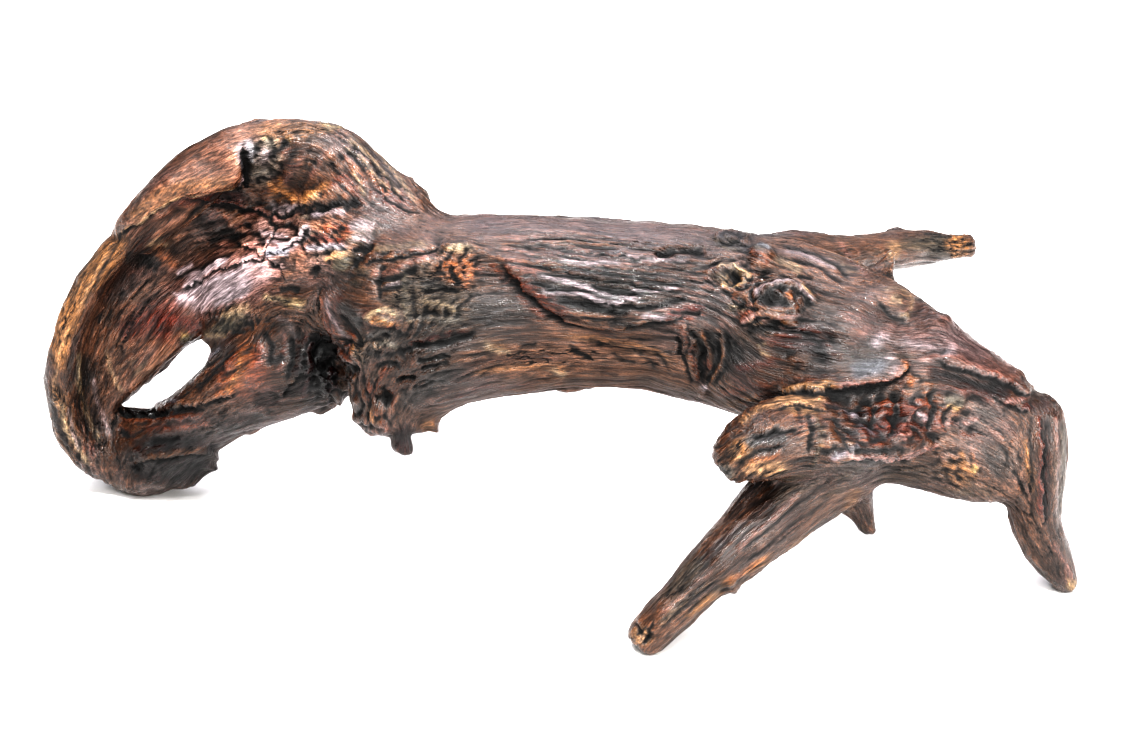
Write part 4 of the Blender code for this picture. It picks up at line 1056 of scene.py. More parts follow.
def nearRows(places, seen, spots, reach):
    # the seen points in the box round some places
    spots = np.array(spots, float).reshape(-1, 2)
    low, high = spots.min(axis=0) - reach, spots.max(axis=0) + reach
    held = (places >= low).all(axis=1) & (places <= high).all(axis=1) & (seen > 0.01)
    return np.nonzero(held)[0]


def shake(mm, size, layers, push):
    # slow noise to both sides in px, so that a drawn line doesn't run smooth
    return np.stack([latticeNoise(mm / size, layer) for layer in layers], axis=1) * push


def carve(points, grain, places, seen):
    # height in mm of every point over the smooth skin
    mm = points * 1000
    q = grain * 1000
    bend = np.stack([latticeNoise(q / relief["bendMm"] + 7, k) for k in (1, 2, 3)], axis=1)
    behind, less = relief["ridgeTimes"]
    ridge = behind - less * seen
    behind, less = relief["fineTimes"]
    fine = behind - less * seen
    for across, down, wide, high, turn, toRidge, toFine in ridgeZones:
        rows = nearRows(places, seen, (across, down), 1.3 * max(wide, high))
        part = seen[rows] * step01(inDab(places[rows], across, down, wide, high, turn), 1.25, 0.7)
        ridge[rows] += part * (toRidge - ridge[rows])
        fine[rows] += part * (toFine - fine[rows])
    size, high = relief["swellMm"]
    height = high * latticeNoise(mm / size, 5) + 0.5 * high * latticeNoise(mm / (size / 2), 6)
    size, high = relief["ridgeMm"]
    patchy = 0.55 + 0.9 * step01(latticeNoise(q / relief["patchMm"], 16), -0.5, 0.5)
    wave = crest(latticeNoise(q / size + 0.45 * bend, 8))
    height += ridge * patchy * high * (wave ** 1.2 - 0.45)
    size, high = relief["fineMm"]
    height += fine * high * (crest(latticeNoise(q / size + 0.5 * bend, 9)) - 0.5)
    size, high = relief["crackMm"]
    line = np.abs(latticeNoise(q / size + 0.3 * bend, 10))
    opened = step01(latticeNoise(q / relief["crackPatchMm"], 11), 0.0, 0.35)
    height -= ridge * high * opened * step01(line, 0.10, 0.0)
    size, high = relief["hairMm"]
    line = np.abs(latticeNoise(q / size + 0.3 * bend, 12))
    opened = step01(latticeNoise(q / relief["hairPatchMm"], 13), -0.05, 0.3)
    height -= high * opened * fine * step01(line, 0.13, 0.0)

    slow, quick = relief["wander"]
    wander = latticeNoise(q / slow[0], 17) * slow[1] + latticeNoise(q / quick[0], 18) * quick[1]
    broken = step01(latticeNoise(q / relief["brokenMm"], 19), -0.55, 0.1)
    slope, steep = relief["ledgeShares"]
    for across, down, wide, high, turn, spacing, rise in ledgeZones:
        rows = nearRows(places, seen, (across, down), 1.3 * max(wide, high))
        spot = places[rows]
        part = seen[rows] * step01(inDab(spot, across, down, wide, high, turn), 1.2, 0.65)
        angle = math.radians(turn)
        lower = -(spot[:, 0] - across) * math.sin(angle) + (spot[:, 1] - down) * math.cos(angle)
        phase = lower / spacing + wander[rows]
        phase = phase - np.floor(phase)
        saw = np.where(phase < slope, phase / slope, (1 - phase) / steep) - 0.5
        height[rows] += part * broken[rows] * rise * saw
    for across, down, wide, high, size, rise in lumpZones:
        rows = nearRows(places, seen, (across, down), 1.3 * max(wide, high))
        part = seen[rows] * step01(inDab(places[rows], across, down, wide, high), 1.2, 0.6)
        at = mm[rows] / size + 0.6 * bend[rows]
        bulge = 1 - 2.2 * np.abs(latticeNoise(at, 30)) + 0.5 * latticeNoise(at * 2.1, 31)
        height[rows] += part * rise * (0.5 - bulge) * 0.8

    slow, quick = relief["wobble"]
    wobble = shake(mm, slow[0], (14, 15), slow[1])
    wobble += shake(mm, quick[0], (34, 35), quick[1])
    shaky = places + wobble
    for across, down, wide, high, turn, rise in shapeDabs:
        rows = nearRows(places, seen, (across, down), 2.2 * max(wide, high))
        r = inDab(places[rows] + wobble[rows], across, down, wide, high, turn)
        height[rows] += seen[rows] * rise * np.exp(-r ** 2 * 1.2)
    for line, up, rise, reach in lips:
        rows = nearRows(places, seen, line, 3.0 * reach)
        dist, way, side, along = polyDistance(shaky[rows], line)
        ends = step01(along, 0.0, 0.08) * step01(along, 1.0, 0.92)
        under = -0.5 * np.exp(-(dist / (0.3 * reach)) ** 2)
        step = np.where(side == up, np.exp(-dist / reach), under)
        height[rows] += seen[rows] * ends * rise * step
    for line, width, depth in cracks:
        rows = nearRows(places, seen, line, 4.0 * width)
        dist, way, side, along = polyDistance(places[rows] + 0.6 * wobble[rows], line)
        ends = step01(along, 0.0, 0.12) * step01(along, 1.0, 0.88)
        height[rows] -= seen[rows] * ends * depth * np.exp(-(dist / width) ** 2)
    for line, reach, rise, tone, strength in strokes:
        if rise:
            rows = nearRows(places, seen, line, 2.4 * reach + 4)
            dist, way, side, along = polyDistance(places[rows] + 0.5 * wobble[rows], line)
            ends = step01(along, 0.0, 0.15) * step01(along, 1.0, 0.85)
            tall = rise * relief["strokeUp" if rise > 0 else "strokeIn"]
            reach += relief["strokeSoft"]
            height[rows] += seen[rows] * ends * tall * np.exp(-(dist / reach) ** 2)
    for across, down, wide, high, rise, ring in knots:
        rows = nearRows(places, seen, (across, down), 2.2 * max(wide, high))
        r = inDab(shaky[rows], across, down, wide, high)
        r = r * (1 + 0.28 * latticeNoise(mm[rows] / 6, 32))
        dome = np.where(r < 1, 1 - 0.5 * r ** 2, 0.5 * np.exp(-((r - 1) / 0.4) ** 2))
        collar = -0.2 * np.exp(-((r - 1.3) / 0.25) ** 2)
        rings = 0.0
        if ring:
            rings = 0.13 * np.cos(2 * math.pi * r * wide / ring) * step01(r, 1.3, 0.8)
        height[rows] += seen[rows] * rise * (dome + collar + rings) * step01(r, 1.9, 1.4)
    for spot, size, hole in scattered:
        r = np.linalg.norm(points - spot, axis=1) * 1000 / size
        r = r * (1 + 0.28 * latticeNoise(mm / 6, 32))
        bump = np.where(r < 1, 1 - 0.5 * r ** 2, 0.5 * np.exp(-((r - 1) / 0.4) ** 2))
        if hole:
            bump = 0.8 * np.exp(-((r - 0.8) / 0.35) ** 2) - 1.5 * np.exp(-(r / 0.5) ** 2)
        height += (1 - seen) * farKnots["riseMm"] * bump * step01(r, 2.0, 1.4)
    for across, down, wide, high, turn, depth in hollows:
        rows = nearRows(places, seen, (across, down), 2.2 * max(wide, high))
        r = inDab(shaky[rows], across, down, wide, high, turn)
        height[rows] -= seen[rows] * depth * np.exp(-r ** 2 * 1.1)
    return height


# tones: what the oiled wood looks like in each place, and how it shines there

woodTones = {
    "heart": ("#4e372a", 0.32),      # oiled heartwood, reddish brown
    "sanded": ("#674a3d", 0.34),     # smooth outer curve, rubbed and lighter
    "bark": ("#2d1e17", 0.26),       # dark skin under old bark
    "plum": ("#4a3a36", 0.22),       # purple brown with a sheen
    "oxblood": ("#3b1a14", 0.28),    # fresh red inner wood
    "matt": ("#573c2b", 0.55),       # dry brown side of the trunk
    "ochre": ("#745232", 0.46),      # worn edges with the oil gone
    "tan": ("#80644a", 0.44),        # rubbed horn
    "cream": ("#8b7352", 0.55),      # knots of pale wood
    "yellow": ("#786841", 0.55),
    "olive": ("#39342a", 0.54),      # weathered crust
    "lichen": ("#4a463f", 0.48),     # grey crust
    "redShadow": ("#1c0a06", 0.32),     # painted shade, dark red black under the strut, in the flap and under lips
    "coal": ("#201f1e", 0.28),       # blackened wood
    "blackAndShade": ("#0c0807", 0.36),       # near black inside holes and cracks, and painted shade in shaded places
    "greySheen": ("#6f6668", 0.20),      # painted highlight, a grey sheen painted on ridges as their reflection
    "pinkSheen": ("#5c443f", 0.22),       # pink brown with a painted sheen, a painted reflection
    "blueGreyCrustAndSheen": ("#494b50", 0.22),      # blue grey: a grey crust in places, elsewhere a painted bluish sheen
    "rust": ("#4a281b", 0.30),       # orange red inner wood
    "amber": ("#6c4328", 0.36),
    "sand": ("#736551", 0.46),       # dry pale fibres
}

# tone dabs on the front: across, down, half width, half height, turn degrees, tone, strength
toneDabs = [
    (196, 180, 110, 24, -36, "sanded", 0.9), (290, 130, 40, 12, 0, "ochre", 0.45),
    (334, 124, 18, 5, 8, "yellow", 0.5), (262, 158, 24, 30, 0, "lichen", 0.75),
    (266, 137, 4, 3, 0, "yellow", 0.7), (288, 141, 3, 3, 0, "yellow", 0.5),
    (357, 178, 12, 10, 30, "rust", 0.7), (392, 196, 30, 16, 35, "oxblood", 0.5),
    (280, 190, 11, 14, 0, "ochre", 0.35), (314, 196, 6, 5, 0, "tan", 0.9),
    (303, 204, 5, 5, 0, "tan", 0.9), (265, 205, 90, 8, 2, "bark", 0.8),
    (104, 262, 16, 36, 32, "ochre", 0.85), (64, 328, 11, 44, 12, "ochre", 0.85),
    (62, 420, 12, 46, -14, "ochre", 0.55), (58, 420, 5, 44, -18, "bark", 0.8),
    # painted sheen in the bowl of the hood
    (268, 232, 40, 24, 0, "plum", 0.85), (226, 282, 74, 40, -22, "pinkSheen", 0.9),
    (226, 282, 54, 25, -20, "greySheen", 0.75), (141, 266, 16, 9, -30, "coal", 0.8),
    (85, 373, 11, 20, 0, "coal", 0.8), (154, 322, 40, 22, -20, "oxblood", 0.6),
    (110, 400, 22, 60, 0, "heart", 0.6), (342, 262, 10, 10, 0, "olive", 0.9),
    (314, 271, 6, 5, 0, "blackAndShade", 0.95), (294, 303, 13, 5, 0, "cream", 0.8),
    (232, 322, 22, 12, -10, "olive", 0.8), (185, 338, 5, 4, 0, "yellow", 0.8),
    (242, 372, 34, 30, -20, "rust", 0.85), (240, 372, 22, 8, -30, "amber", 0.5),
    # painted shade under the strut
    (215, 356, 40, 7, -36, "coal", 0.75), (143, 412, 28, 6, 4, "blackAndShade", 0.85),
    (162, 445, 20, 9, 0, "coal", 0.7), (181, 456, 34, 7, -4, "matt", 0.8),
    # painted shade under the strut
    (172, 466, 58, 26, 0, "redShadow", 0.95), (200, 432, 66, 22, -14, "redShadow", 0.7),
    # painted shade in the flap
    (280, 338, 16, 24, 0, "bark", 0.8), (320, 368, 32, 46, 0, "redShadow", 1.0),
    (338, 384, 14, 14, 0, "redShadow", 0.9), (334, 320, 8, 34, 12, "oxblood", 0.6),
    (352, 348, 4, 7, 0, "ochre", 0.9), (384, 316, 16, 5, 8, "sand", 0.8),
    (386, 323, 18, 3, 8, "ochre", 0.7), (388, 336, 18, 9, 0, "lichen", 0.85),
    (372, 400, 22, 22, 0, "bark", 0.7), (375, 416, 9, 8, 0, "ochre", 0.5),
    (430, 300, 54, 40, 0, "olive", 0.7), (410, 352, 56, 40, 0, "bark", 0.7),
    (440, 396, 60, 16, -20, "bark", 0.5), (500, 310, 36, 20, 0, "coal", 0.7),
    (450, 345, 70, 30, -6, "coal", 0.5), (438, 378, 20, 12, -10, "coal", 0.7),
    (352, 324, 11, 14, 0, "coal", 0.7), (459, 249, 15, 5, 0, "sand", 0.9),
    (458, 272, 26, 14, 0, "amber", 0.7), (590, 228, 130, 15, 2, "plum", 0.85),
    (604, 276, 100, 36, 4, "bark", 0.75), (612, 292, 96, 26, 5, "coal", 0.6),
    (590, 258, 90, 12, 5, "plum", 0.6), (540, 300, 44, 12, 34, "oxblood", 0.75),
    (686, 312, 20, 9, 0, "oxblood", 0.8), (574, 364, 118, 30, 0, "matt", 0.9),
    (497, 347, 11, 7, 0, "ochre", 0.5), (560, 371, 6, 4, 0, "ochre", 0.4),
    (700, 356, 18, 34, 0, "bark", 0.7), (732, 237, 15, 5, 0, "blackAndShade", 0.8),
    (730, 275, 20, 9, 0, "olive", 0.8), (735, 279, 5, 4, 0, "blackAndShade", 0.95),
    (761, 262, 12, 13, 0, "heart", 0.8), (760, 248, 10, 5, 0, "lichen", 0.7),
    (778, 297, 26, 11, 0, "bark", 0.8), (772, 303, 8, 4, 0, "oxblood", 0.9),
    # painted shade in the pinch and in the hollow right of it
    (768, 322, 28, 5, 4, "ochre", 0.5), (718, 352, 32, 34, 10, "blackAndShade", 0.9),
    (744, 356, 20, 24, 0, "blackAndShade", 0.6), (800, 345, 50, 32, 0, "redShadow", 0.6),
    (800, 338, 40, 14, 0, "oxblood", 0.7), (797, 364, 11, 11, 0, "matt", 0.6),
    (893, 300, 25, 14, 0, "matt", 0.5), (895, 301, 7, 4, 0, "sand", 0.4),
    (906, 316, 6, 4, 0, "sand", 0.5), (872, 360, 32, 24, 0, "coal", 0.7),
    # painted sheen on the far slope
    (916, 342, 42, 14, 0, "plum", 0.8), (980, 346, 56, 32, 30, "pinkSheen", 0.8),
    (960, 340, 40, 16, 20, "greySheen", 0.3), (896, 420, 76, 34, 0, "bark", 0.7),
    (900, 420, 56, 26, 0, "oxblood", 0.5), (956, 401, 12, 10, 0, "olive", 0.9),
    (1010, 404, 18, 6, 24, "plum", 0.7), (908, 475, 38, 11, 0, "olive", 0.6),
    (960, 470, 20, 17, 0, "ochre", 0.6), (975, 468, 5, 5, 0, "yellow", 0.8),
    (1002, 464, 22, 22, 0, "coal", 0.6), (1032, 478, 4, 18, 0, "ochre", 0.7),
    (1050, 470, 22, 74, 0, "bark", 0.6), (1058, 478, 5, 42, 0, "lichen", 0.5),
    (1046, 470, 4, 56, 0, "oxblood", 0.8), (1060, 556, 20, 34, 0, "bark", 0.7),
    (1073, 586, 9, 7, 0, "cream", 0.6), (900, 476, 80, 18, 0, "bark", 0.5),
    (800, 402, 28, 11, 0, "tan", 0.9), (766, 468, 24, 9, 0, "tan", 1.0),
    (742, 450, 12, 14, 0, "tan", 0.7), (778, 440, 26, 13, -20, "bark", 0.75),
    (724, 473, 12, 10, 0, "lichen", 0.8), (760, 540, 100, 26, -42, "bark", 0.8),
    (843, 520, 14, 6, -30, "ochre", 0.6), (756, 566, 20, 5, -36, "ochre", 0.7),
    (728, 582, 12, 5, -36, "ochre", 0.7), (704, 602, 18, 6, -42, "ochre", 0.6),
    (642, 636, 12, 10, 0, "tan", 0.75), (862, 512, 12, 24, 20, "bark", 0.7),
    (852, 500, 6, 16, 30, "ochre", 0.5), (840, 242, 90, 12, 0, "matt", 0.6),
    (930, 244, 40, 10, 0, "olive", 0.8), (958, 247, 14, 14, 0, "ochre", 0.9),
    # painted shade under the end of the trunk
    (893, 250, 7, 10, 0, "tan", 0.8), (404, 440, 16, 18, 0, "redShadow", 1.0),
    (428, 426, 6, 6, 0, "ochre", 0.6),
]


# where the oil lies thick and shines: across, down, half width, half height, turn, less roughness
wetZones = [
    (590, 240, 140, 34, 4, 0.12), (610, 284, 110, 34, 6, 0.14), (222, 288, 60, 32, -26, 0.20),
    (170, 320, 50, 40, -40, 0.12), (266, 230, 54, 28, -10, 0.18), (880, 348, 50, 22, 0, 0.14),
    (920, 344, 50, 16, 0, 0.14), (985, 346, 46, 30, 30, 0.10), (900, 414, 70, 30, 0, 0.12),
    (766, 296, 44, 22, 0, 0.12), (300, 222, 40, 16, 30, 0.12), (145, 411, 34, 8, 0, 0.16),
    (262, 158, 20, 26, 0, 0.12), (1054, 470, 14, 70, 0, 0.08), (206, 175, 60, 16, -38, 0.06),
    (320, 366, 24, 34, 0, 0.10), (620, 250, 60, 18, 4, 0.06), (360, 214, 60, 18, 20, 0.08),
]


# painted light and shade, lighter under the hood, darker under strut and flap: across, down, half
# width, half height, turn, times
paintedLightZones = [
    (216, 286, 76, 38, -24, 1.4), (140, 325, 48, 80, 30, 2.2), (290, 240, 78, 36, -8, 3.3),
    (210, 232, 56, 26, -22, 2.0), (262, 158, 30, 32, 0, 2.2), (330, 180, 44, 36, 40, 1.2),
    (390, 326, 32, 30, 0, 1.25), (200, 174, 100, 30, -38, 1.12), (244, 372, 42, 38, -20, 1.3),
    (172, 458, 62, 30, 0, 0.45), (318, 368, 34, 48, 0, 0.4), (440, 322, 50, 44, 0, 0.8),
    (822, 345, 42, 32, 10, 0.5), (900, 414, 78, 30, 0, 1.35), (702, 356, 26, 34, 0, 1.2),
    (760, 540, 112, 32, -42, 1.15), (610, 280, 110, 34, 5, 1.1), (776, 300, 44, 30, 0, 1.1),
    (976, 344, 60, 36, 30, 0.95),
]


def hexToLinear(code):
    parts = [int(code[k:k + 2], 16) / 255 for k in (1, 3, 5)]
    return [p / 12.92 if p <= 0.04045 else ((p + 0.055) / 1.055) ** 2.4 for p in parts]


toneDepth = {"all": 0.68, "hollow": 0.68, "proud": 0.16}    # darkness of every tone, painted shade in hollows and painted light on swells
toneGrain = {
    "streakMm": 9, "thinMm": 4.2,       # broad and thin streaks along the grain
    "brokenMm": 7,                      # size of the bites in the edges of the dabs
    "wobble": (8, 1.7),                 # as in the relief, but less
    "wornMm": 24,                       # patches where edges have lost their oil
}

# patches over the whole piece: tone, size mm, noise layer, how far the broad and the thin
# streaks reach in, from, to, strength
tonePatches = [
    ("bark", 46, 21, 0.8, 0.5, -0.3, 0.6, 0.85), ("plum", 38, 24, 0.6, 0.0, 0.1, 0.7, 0.7),
    ("oxblood", 28, 25, 0.0, 0.5, 0.35, 1.0, 0.6), ("olive", 30, 26, 0.0, 0.6, 0.45, 0.9, 0.6),
    ("coal", 34, 27, 0.6, 0.0, 0.4, 0.9, 0.6),
]

# the same, only on the sides that the front doesn't see
farPatches = [
    ("ochre", 33, 36, 0.5, 0.0, 0.3, 0.9, 0.5), ("rust", 25, 37, 0.0, 0.6, 0.4, 0.9, 0.6),
    ("blueGreyCrustAndSheen", 36, 38, 0.5, 0.0, 0.45, 0.9, 0.6),
]


def paint(points, grain, places, seen, edge, deep, dip):
    # colour and roughness of every point: patches along the grain, then the dabs and strokes,
    # then worn edges, painted shade in cracks and hollows and painted light on swells
    mm = points * 1000
    q = grain * 1000
    tones = {name: np.array(hexToLinear(code) + [rough])
             for name, (code, rough) in woodTones.items()}
    look = np.tile(tones["heart"], (len(points), 1))

    def lay(name, share):
        look[:] += np.clip(share, 0, 1)[:, None] * (tones[name] - look)

    streak = latticeNoise(q / toneGrain["streakMm"], 22)
    thin = latticeNoise(q / toneGrain["thinMm"], 23)
    bites = latticeNoise(mm / toneGrain["brokenMm"], 28)
    broken = 0.22 * streak + 0.16 * thin + 0.12 * bites
    hidden = 1 - seen
    for patches, where in ((tonePatches, 1.0), (farPatches, hidden)):
        for name, size, layer, byStreak, byThin, low, high, strength in patches:
            cloud = latticeNoise(mm / size, layer) + byStreak * streak + byThin * thin
            lay(name, where * step01(cloud, low, high) * strength)
    for spot, size, hole in scattered:
        r = np.linalg.norm(points - spot, axis=1) * 1000 / size + broken
        lay("blackAndShade", hidden * step01(np.abs(r - 1.25), 0.3, 0.0) * 0.6)
        lay("blackAndShade" if hole else "matt", hidden * step01(r, 0.9, 0.5) * (0.9 if hole else 0.7))
    for across, down, wide, high, turn, name, strength in toneDabs:
        rows = nearRows(places, seen, (across, down), 1.6 * max(wide, high))
        r = inDab(places[rows], across, down, wide, high, turn) + broken[rows]
        share = seen[rows] * strength * step01(r, 1.15, 0.5)
        look[rows] += np.clip(share, 0, 1)[:, None] * (tones[name] - look[rows])
    size, push = toneGrain["wobble"]
    wobble = shake(mm, size, (14, 15), push)
    for line, reach, rise, name, strength in strokes:
        rows = nearRows(places, seen, line, 1.6 * reach + 4)
        dist, way, side, along = polyDistance(places[rows] + wobble[rows], line)
        share = step01(dist / (reach + 0.5) + broken[rows], 1.35, 0.4)
        share *= seen[rows] * strength * step01(along, 0.0, 0.08) * step01(along, 1.0, 0.92)
        look[rows] += share[:, None] * (tones[name] - look[rows])
    for across, down, wide, high, turn, less in wetZones:
        rows = nearRows(places, seen, (across, down), 1.6 * max(wide, high))
        r = inDab(places[rows], across, down, wide, high, turn) + broken[rows]
        look[rows, 3] -= seen[rows] * less * step01(r, 1.2, 0.5)
    worn = step01(latticeNoise(mm / toneGrain["wornMm"], 29), -0.2, 0.5)
    dry = step01(look[:, 3], 0.24, 0.4)
    lay("ochre", dry * worn * step01(edge + 0.4 * thin, 0.75, 1.4) * 0.35)
    # painted shade in the cuts of the relief, darker the deeper they lie
    lay("blackAndShade", step01(deep + 0.15 * thin, 0.45, 1.2) * 0.9)
    look[:, :3] *= (1 + 0.16 * thin + 0.2 * streak)[:, None]
    # painted shade in hollows and painted light on swells
    shade = 1.12 - toneDepth["hollow"] * step01(dip, -0.2, 1.3)
    shade += toneDepth["proud"] * step01(-dip, 0.0, 1.2)
    # painted light and shade over the zones above
    for across, down, wide, high, turn, times in paintedLightZones:
        rows = nearRows(places, seen, (across, down), 1.6 * max(wide, high))
        r = inDab(places[rows], across, down, wide, high, turn) + broken[rows]
        shade[rows] *= 1 + (times - 1) * seen[rows] * step01(r, 1.3, 0.5)
    look[:, :3] *= toneDepth["all"] * shade[:, None]
    look[:, 3] -= 0.06
    look[:, 3] += 0.14 * step01(dip, 0.0, 1.0) - 0.05 * step01(-dip, 0.0, 1.0)
    return np.clip(look, 0.002, 1)


def storeField(mesh, name, kind, values):
    field = mesh.attributes.new(name, kind, "POINT")
    slot = {"FLOAT": "value", "FLOAT_VECTOR": "vector", "FLOAT_COLOR": "color"}[kind]
    field.data.foreach_set(slot, np.ascontiguousarray(values, dtype=np.float32).ravel())


fieldRules = {
    "feetMm": (1.5, 9.0),       # over the floor, where the relief comes in; the feet stay put
    "feetRelief": 0.25,         # share of it that the feet keep
    "softened": 0.3,            # how far each point goes to its neighbours' middle at the end
    "edgeMm": 0.9, "cutMm": 1.0, "edgePasses": 14,      # what counts as an edge or a cut
    "dipMm": 1.1, "dipPasses": 36,                      # and as a hollow or a swell
}

points = grabOutline(points, toPicture(points))
places = toPicture(points)
height = carve(points, grain, places, seen)
tips = step01(points[:, 2] * 1000, *fieldRules["feetMm"])
height *= fieldRules["feetRelief"] + (1 - fieldRules["feetRelief"]) * tips
moved = points + normals * (height / 1000)[:, None]
moved = web.relax(moved, 1, fieldRules["softened"])
moved[:, 2] = np.maximum(moved[:, 2], 0.0)
local = height - web.relax(height, fieldRules["edgePasses"])
edge = np.clip(local / fieldRules["edgeMm"], -1, 1.5)
deep = np.clip(-local / fieldRules["cutMm"], 0, 1.5)
sunk = ((web.relax(moved, fieldRules["dipPasses"]) - moved) * normals).sum(axis=1)
dip = sunk * 1000 / fieldRules["dipMm"]       # above 0 in hollows
look = paint(points, grain, places, seen, edge, deep, dip)
writePoints(mesh, moved)
storeField(mesh, "grain", "FLOAT_VECTOR", grain)
opaque = np.ones((len(look), 1))
storeField(mesh, "tone", "FLOAT_COLOR", np.concatenate([look[:, :3], opaque], axis=1))
storeField(mesh, "gloss", "FLOAT", look[:, 3])
# height over the neighbours, which the finish turns into painted shade low and painted light high
storeField(mesh, "crest", "FLOAT", np.clip(0.5 + 0.5 * local / fieldRules["edgeMm"], 0, 1))
print("driftwood: relief carved,", round(height.min(), 1), "to", round(height.max(), 1), "mm")

thin = body.modifiers.new("thin", "DECIMATE")
thin.ratio = min(1.0, grainRun["triangles"] / (2 * len(mesh.polygons)))
graph = bpy.context.evaluated_depsgraph_get()
light = bpy.data.meshes.new_from_object(body.evaluated_get(graph))
body.modifiers.clear()
body.data = light
light.name = "driftwoodWood"
light.polygons.foreach_set("use_smooth", np.ones(len(light.polygons), bool))
light.update()
print("driftwood: thinned to", len(light.polygons), "faces", [a.name for a in light.attributes])


# the wood's own finish

def addNode(tree, kind, settings=None, feeds=None):
    node = tree.nodes.new(kind)
    for name, value in (settings or {}).items():
        setattr(node, name, value)
    for name, value in (feeds or {}).items():
        socket = node.inputs[name]
        if isinstance(value, bpy.types.NodeSocket):
            tree.links.new(value, socket)
        else:
            socket.default_value = value
    return node


rootwood = {
    "fibreMm": 0.75,       # bundles of fibres; single ones are finer, drawn coarse enough to show
    "streakMm": 1.6,       # darker and lighter streaks along the grain
    "waveMm": 2.6,         # small wavy ridges
    "crackMm": 3.4,        # fine drying cracks along the grain
    "poreMm": 1.0,         # open pores, as dark dashes
    "gritMm": 0.7,         # dust and grit dried into the oil, the same in every direction
    "patchMm": 12.0,       # patches where those cracks open
    "ior": 1.52,           # drying oil over wood
    "specular": 0.5,
    "bumpMm": 1.5,
    # how each layer darkens or lightens the tone: from, to, times at from, times at to
    "shades": {
        "streak": (0.34, 0.66, 0.55, 1.5), "fibre": (0.38, 0.62, 0.55, 1.45),
        "pore": (0.26, 0.38, 0.5, 1.0), "wave": (0.0, 0.16, 1.15, 0.8),
        # crest: painted shade in the low places of the relief, painted light on its high ones
        "grit": (0.34, 0.66, 0.78, 1.22), "crest": (0.12, 0.7, 0.12, 1.3),
        "crack": (0.0, 0.9, 1.0, 0.06),
    },
    # how each adds to the roughness: from, to, added at from, added at to
    "roughens": {
        "crest": (0.2, 0.75, 0.35, -0.06), "streak": (0.3, 0.7, 0.1, -0.05),
        "crack": (0.0, 1.0, 0.0, 0.4),
    },
    # how much each stands up or is cut in, as a share of the bump
    "heights": {"fibre": 0.45, "grit": 0.3, "streak": 0.7, "wave": 1.5, "crack": 0.6},
}


